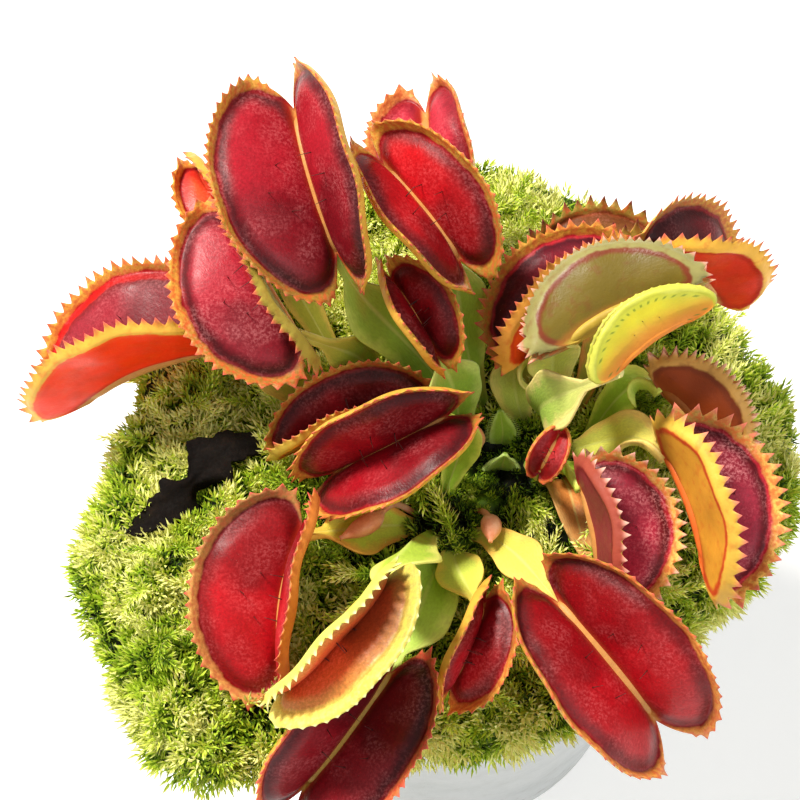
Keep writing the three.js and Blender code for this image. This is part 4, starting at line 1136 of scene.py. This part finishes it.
def spread_sprigs(count):
    """Feet and directions for the sprigs, even over the top of the moss and its hanging edge."""
    top = grid_faces(top_rows, MOSS["around"])
    a, b, c, d = (bed[top[:, k]] for k in range(4))
    area = 0.5 * np.linalg.norm(np.cross(c - a, d - b), axis=1)
    pick = moss_rng.choice(len(top), count, p=area / area.sum())
    u, v = moss_rng.uniform(size=(2, count, 1))
    foot = mix(mix(a[pick], b[pick], u), mix(d[pick], c[pick], u), v)
    out = unit(np.cross(d[pick] - b[pick], c[pick] - a[pick]))
    gap = np.linalg.norm(foot[:, None, :2] - clumps[None], axis=2)
    nearest = clumps[gap.argmin(axis=1)]
    spread = np.concatenate([foot[:, :2] - nearest, np.zeros((count, 1))], axis=1)
    spread = SPRIG_WAY["spread"] * (spread / SPRIG_WAY["clump_reach"])
    stray = moss_rng.normal(0, SPRIG_WAY["stray"], (count, 3))
    return foot, unit(out * SPRIG_WAY["out"] + spread + np.array([0, 0, SPRIG_WAY["up"]]) + stray)


def inside_box(foot, tip, margin):
    """Which shares of the way from foot to tip stay within the solids' box and a margin in mm."""
    low, high = (np.array(corner) / MM for corner in cad_box)
    way = np.where(np.abs(tip - foot) < 1e-6, 1e-6, tip - foot)
    return np.clip(np.maximum((high + margin - foot) / way, (low - margin - foot) / way).min(axis=-1), 0, 1)


tree = plant_tree()
feet, ways = spread_sprigs(SPRIG["count"])
lengths = moss_rng.uniform(*SPRIG["length"], len(feet))
lengths *= inside_box(feet, feet + ways * lengths[:, None], SPRIG["past_box"])
lengths *= 1 - SPRIG["heart_cut"] * heart(feet[:, 0], feet[:, 1])
spins = moss_rng.uniform(0, 2 * math.pi, len(feet))
tints = moss_rng.uniform(0, 1, len(feet))
keep = lengths > SPRIG["shortest"]
for k, (foot, way) in enumerate(zip(feet, ways)):
    start = Vector(foot - SPRIG["sunk"] * way) * MM
    hit = tree.ray_cast(start, Vector(way), (lengths[k] + SPRIG["clear"] + 0.2) * MM)
    if hit[0] is not None:
        lengths[k] = hit[3] / MM - SPRIG["clear"]
        keep[k] &= lengths[k] > SPRIG["shortest"]
feet, ways, lengths, spins, tints = (values[keep] for values in (feet, ways, lengths, spins, tints))
# Painted shade: sprigs in the hollows between clumps and in the plant's heart get darker tints
shade = clump(feet[:, 0], feet[:, 1])
tints = SPRIG_TINT["chance"] * tints + SPRIG_TINT["clump"] * shade ** SPRIG_TINT["power"]
tints = np.clip(tints - SPRIG_TINT["heart"] * heart(feet[:, 0], feet[:, 1]), 0, 1)
sprig, sprig_tris, sprig_tall = sprig_shape()
side = unit(np.cross(ways, (0.31, 0.17, 0.93)))
first = side * np.cos(spins)[:, None] + np.cross(ways, side) * np.sin(spins)[:, None]
second = np.cross(ways, first)
per_piece = math.ceil(len(feet) / SPRIG["pieces"])
for part in range(SPRIG["pieces"]):
    chosen = slice(part * per_piece, (part + 1) * per_piece)
    w = ways[chosen, None]
    local = (sprig[None, :, :1] * first[chosen, None] + sprig[None, :, 1:2] * second[chosen, None]
             + sprig[None, :, 2:] * w)
    leaves = feet[chosen, None] - SPRIG["sunk"] * w + lengths[chosen, None, None] * local
    shifts = np.arange(len(w))[:, None, None] * len(sprig)
    body = Body("tall", "tint")
    body.shell(leaves, (sprig_tris[None] + shifts).reshape(-1, 3), tall=np.tile(sprig_tall, len(w)),
               tint=np.repeat(tints[chosen], len(sprig)))
    body.finish(f"moss_sprigs_{part + 1}", [moss_skin], "moss", ["moss"], solid=False)


def shoot_path(foot, heading, length):
    """A stem that rises out of the bed and bows over towards its heading."""
    share = np.linspace(0, 1, 10)[:, None]
    out = BOW["out"] * share + BOW["more_out"] * share ** 2
    rise = BOW["up"] * share - BOW["fall"] * share ** 2
    return foot + length * (out * polar(heading, 1, 0) + rise * (0, 0, 1.0))


def add_shoot(body, path, heading, rng):
    """A long shoot of moss: a bowed stem with slim leaves all round it."""
    tint = rng.uniform(*SHOOT["tint"])
    facing = polar(heading + 90, 1, 0)
    sweep(body, path, facing, lambda u: circle(mix(0.16, 0.06, u), 4),
          tall=lambda u: 0.35 + 0.4 * u, tint=tint)
    table = np.concatenate([path, *frames(path, facing)], axis=1)
    for k in range(SHOOT["leaves"]):
        u = mix(0.1, 0.99, k / (SHOOT["leaves"] - 1))
        at = u * (len(path) - 1)
        spot, ahead, right, over = np.array([np.interp(at, np.arange(len(path)), column)
                                             for column in table.T]).reshape(4, 3)
        turn = math.radians(SPIRAL * k)
        beside = right * math.cos(turn) + over * math.sin(turn)
        aim = unit(ahead * mix(0.55, 1.3, u) + beside)
        wing = SHOOT["wing"] * unit(np.cross(aim, beside))
        size = mix(*SHOOT["leaf"], u) * rng.uniform(0.85, 1.15)
        middle = spot + 0.45 * size * aim
        tip = spot + size * aim - 0.12 * size * beside
        body.shell([spot, middle + wing, tip, middle - wing], np.array([(0, 1, 2), (0, 2, 3)]),
                   tall=[0.3, 0.55, 0.95, 0.55], tint=tint)


shoots = Body("tall", "tint")
grown = 0
while grown < SHOOT["count"]:
    middle, reach, length = SHOOT_SPOTS[grown % 2]
    x, y = moss_rng.uniform(-reach, reach, 2) + middle
    if math.hypot(x, y) > SHOOT["within"] * moss_edge(math.degrees(math.atan2(y, x))):
        continue
    heading = moss_rng.uniform(0, 360)
    foot = np.array([x, y, base_height(x, y) + SHOOT["above"]])
    path = shoot_path(foot, heading, moss_rng.uniform(*length))
    if any(tree.find_nearest(Vector(spot * MM), SHOOT["clear"] * MM)[0] for spot in path[::3]):
        continue
    if inside_box(path[0], path[-1], SHOOT["past_box"]) < 1:
        continue
    add_shoot(shoots, path, heading, moss_rng)
    grown += 1
shoots.finish("moss_shoots", [moss_skin], "moss", ["moss"], solid=False)


# Pot
def lathe_profile():
    """Radius and height along the pot's wall: up the outside, over the rim and down the inside."""
    rim, top, base, height = POT["rim"], POT["top"], POT["base"], POT["height"]
    low = height - POT["rim_depth"]
    wall, lip, floor = POT["wall"], POT["lip"], POT["floor"]
    inner = rim - wall - lip

    def inside_radius(z):
        return mix(base, top, z / low) - wall

    return np.array([
        (0, 0), (28, 0), (30.5, 0), (base - 1.6, 0.0), (base - 0.6, 0.25), (base, 1), (base + 0.15, 2),
        (mix(base, top, 0.25), 0.25 * low), (mix(base, top, 0.5), 0.5 * low),
        (mix(base, top, 0.75), 0.75 * low), (top - 0.3, low - 1.2), (top, low - 0.3), (top + 0.5, low),
        (rim - 0.5, low), (rim - 0.1, low + 0.3), (rim, low + 1), (rim, height - 1.4),
        (rim - 0.15, height - 0.6), (rim - 0.6, height - 0.15), (rim - 1.2, height), (inner + 0.4, height),
        (inner, height - 0.4), (inner, low), (inside_radius(0.6 * low), 0.6 * low),
        (inside_radius(floor + 1), floor + 1), (inside_radius(floor) - 0.8, floor), (0, floor),
    ])


def make_pot():
    profile = lathe_profile()
    turn = np.linspace(0, 2 * math.pi, POT["sides"], endpoint=False)
    wall = profile[1:-1]
    ends = [(0, 0, profile[0, 1]), (0, 0, profile[-1, 1])]
    body = Body()
    body.shell(*capped(turned(wall[:, :1], wall[:, 1:], turn), ends))
    pot = body.finish("grow_pot", [pot_material()], "pot", ["pot"])
    for k in range(DRAIN["count"]):
        spot = polar(360 * k / DRAIN["count"], DRAIN["ring"], POT["floor"] / 2) * MM
        bpy.ops.mesh.primitive_cylinder_add(vertices=32, radius=DRAIN["radius"] * MM,
                                            depth=3 * POT["floor"] * MM, location=spot)
        cutter = bpy.context.object
        cut = pot.modifiers.new("drain", "BOOLEAN")
        cut.object, cut.operation, cut.solver = cutter, "DIFFERENCE", "EXACT"
        seen = pot.evaluated_get(bpy.context.evaluated_depsgraph_get())
        mesh = bpy.data.meshes.new_from_object(seen)
        pot.modifiers.clear()
        pot.data = mesh
        bpy.data.objects.remove(cutter)
    mesh.set_sharp_from_angle(angle=math.radians(40))


make_pot()
peat_skin = plain_material("peat_skin", ((0.3, "150d08"), (0.55, "2c1e14"), (0.8, "4a3524")), 1.6, 0.9,
                           depth=0.0006, fine=0.9)
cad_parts["peat"].data.materials.clear()
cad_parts["peat"].data.materials.append(peat_skin)


# Floor, light and camera
def floor_material():
    g = Graph("floor_card", roughness=0.9, specular=0.2)
    colour = g.ramp(g.noise(160, 3), ((0.3, "f1f0ee"), (0.7, "f7f6f4")))
    g.join(colour, g.shader.inputs["Emission Color"])
    g.shader.inputs["Emission Strength"].default_value = 0.3
    return g.finish(colour, None, g.noise(1.2, 3), 0.00005, 0.2)


bpy.ops.mesh.primitive_plane_add(size=FLOOR_SIZE)
floor = bpy.context.object
floor.name = "studio_floor"
floor.data.materials.append(floor_material())
floor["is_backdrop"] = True

scene = bpy.context.scene
for name, (at, size, power, colour) in LAMPS.items():
    data = bpy.data.lights.new(name, "AREA")
    data.shape, data.size, data.energy, data.color = "DISK", size, power, colour
    lamp = bpy.data.objects.new(name, data)
    scene.collection.objects.link(lamp)
    lamp.location = at
    lamp.rotation_euler = (Vector(LAMP_AIM) - Vector(at)).to_track_quat("-Z", "Y").to_euler()

world = bpy.data.worlds.new("studio")
world.use_nodes = True
sky = world.node_tree.nodes["Background"]
sky.inputs["Color"].default_value = (1, 1, 1, 1)
sky.inputs["Strength"].default_value = SKY
scene.world = world
scene.view_settings.view_transform = "Standard"

rise = math.radians(VIEW["elevation"])
eye = Vector(VIEW["target"]) + VIEW["distance"] * Vector((0, -math.cos(rise), math.sin(rise)))
camera_data = bpy.data.cameras.new("camera")
camera_data.sensor_width, camera_data.lens = VIEW["sensor"], VIEW["lens"]
camera_data.clip_start, camera_data.clip_end = 0.01, 20
camera = bpy.data.objects.new("camera", camera_data)
camera.location = eye * MM
camera.rotation_euler = (math.radians(90) - rise, 0, 0)
scene.collection.objects.link(camera)
scene.camera = camera

size = {"cad_box": cad_box, "visual_box": [list(corner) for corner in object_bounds()]}
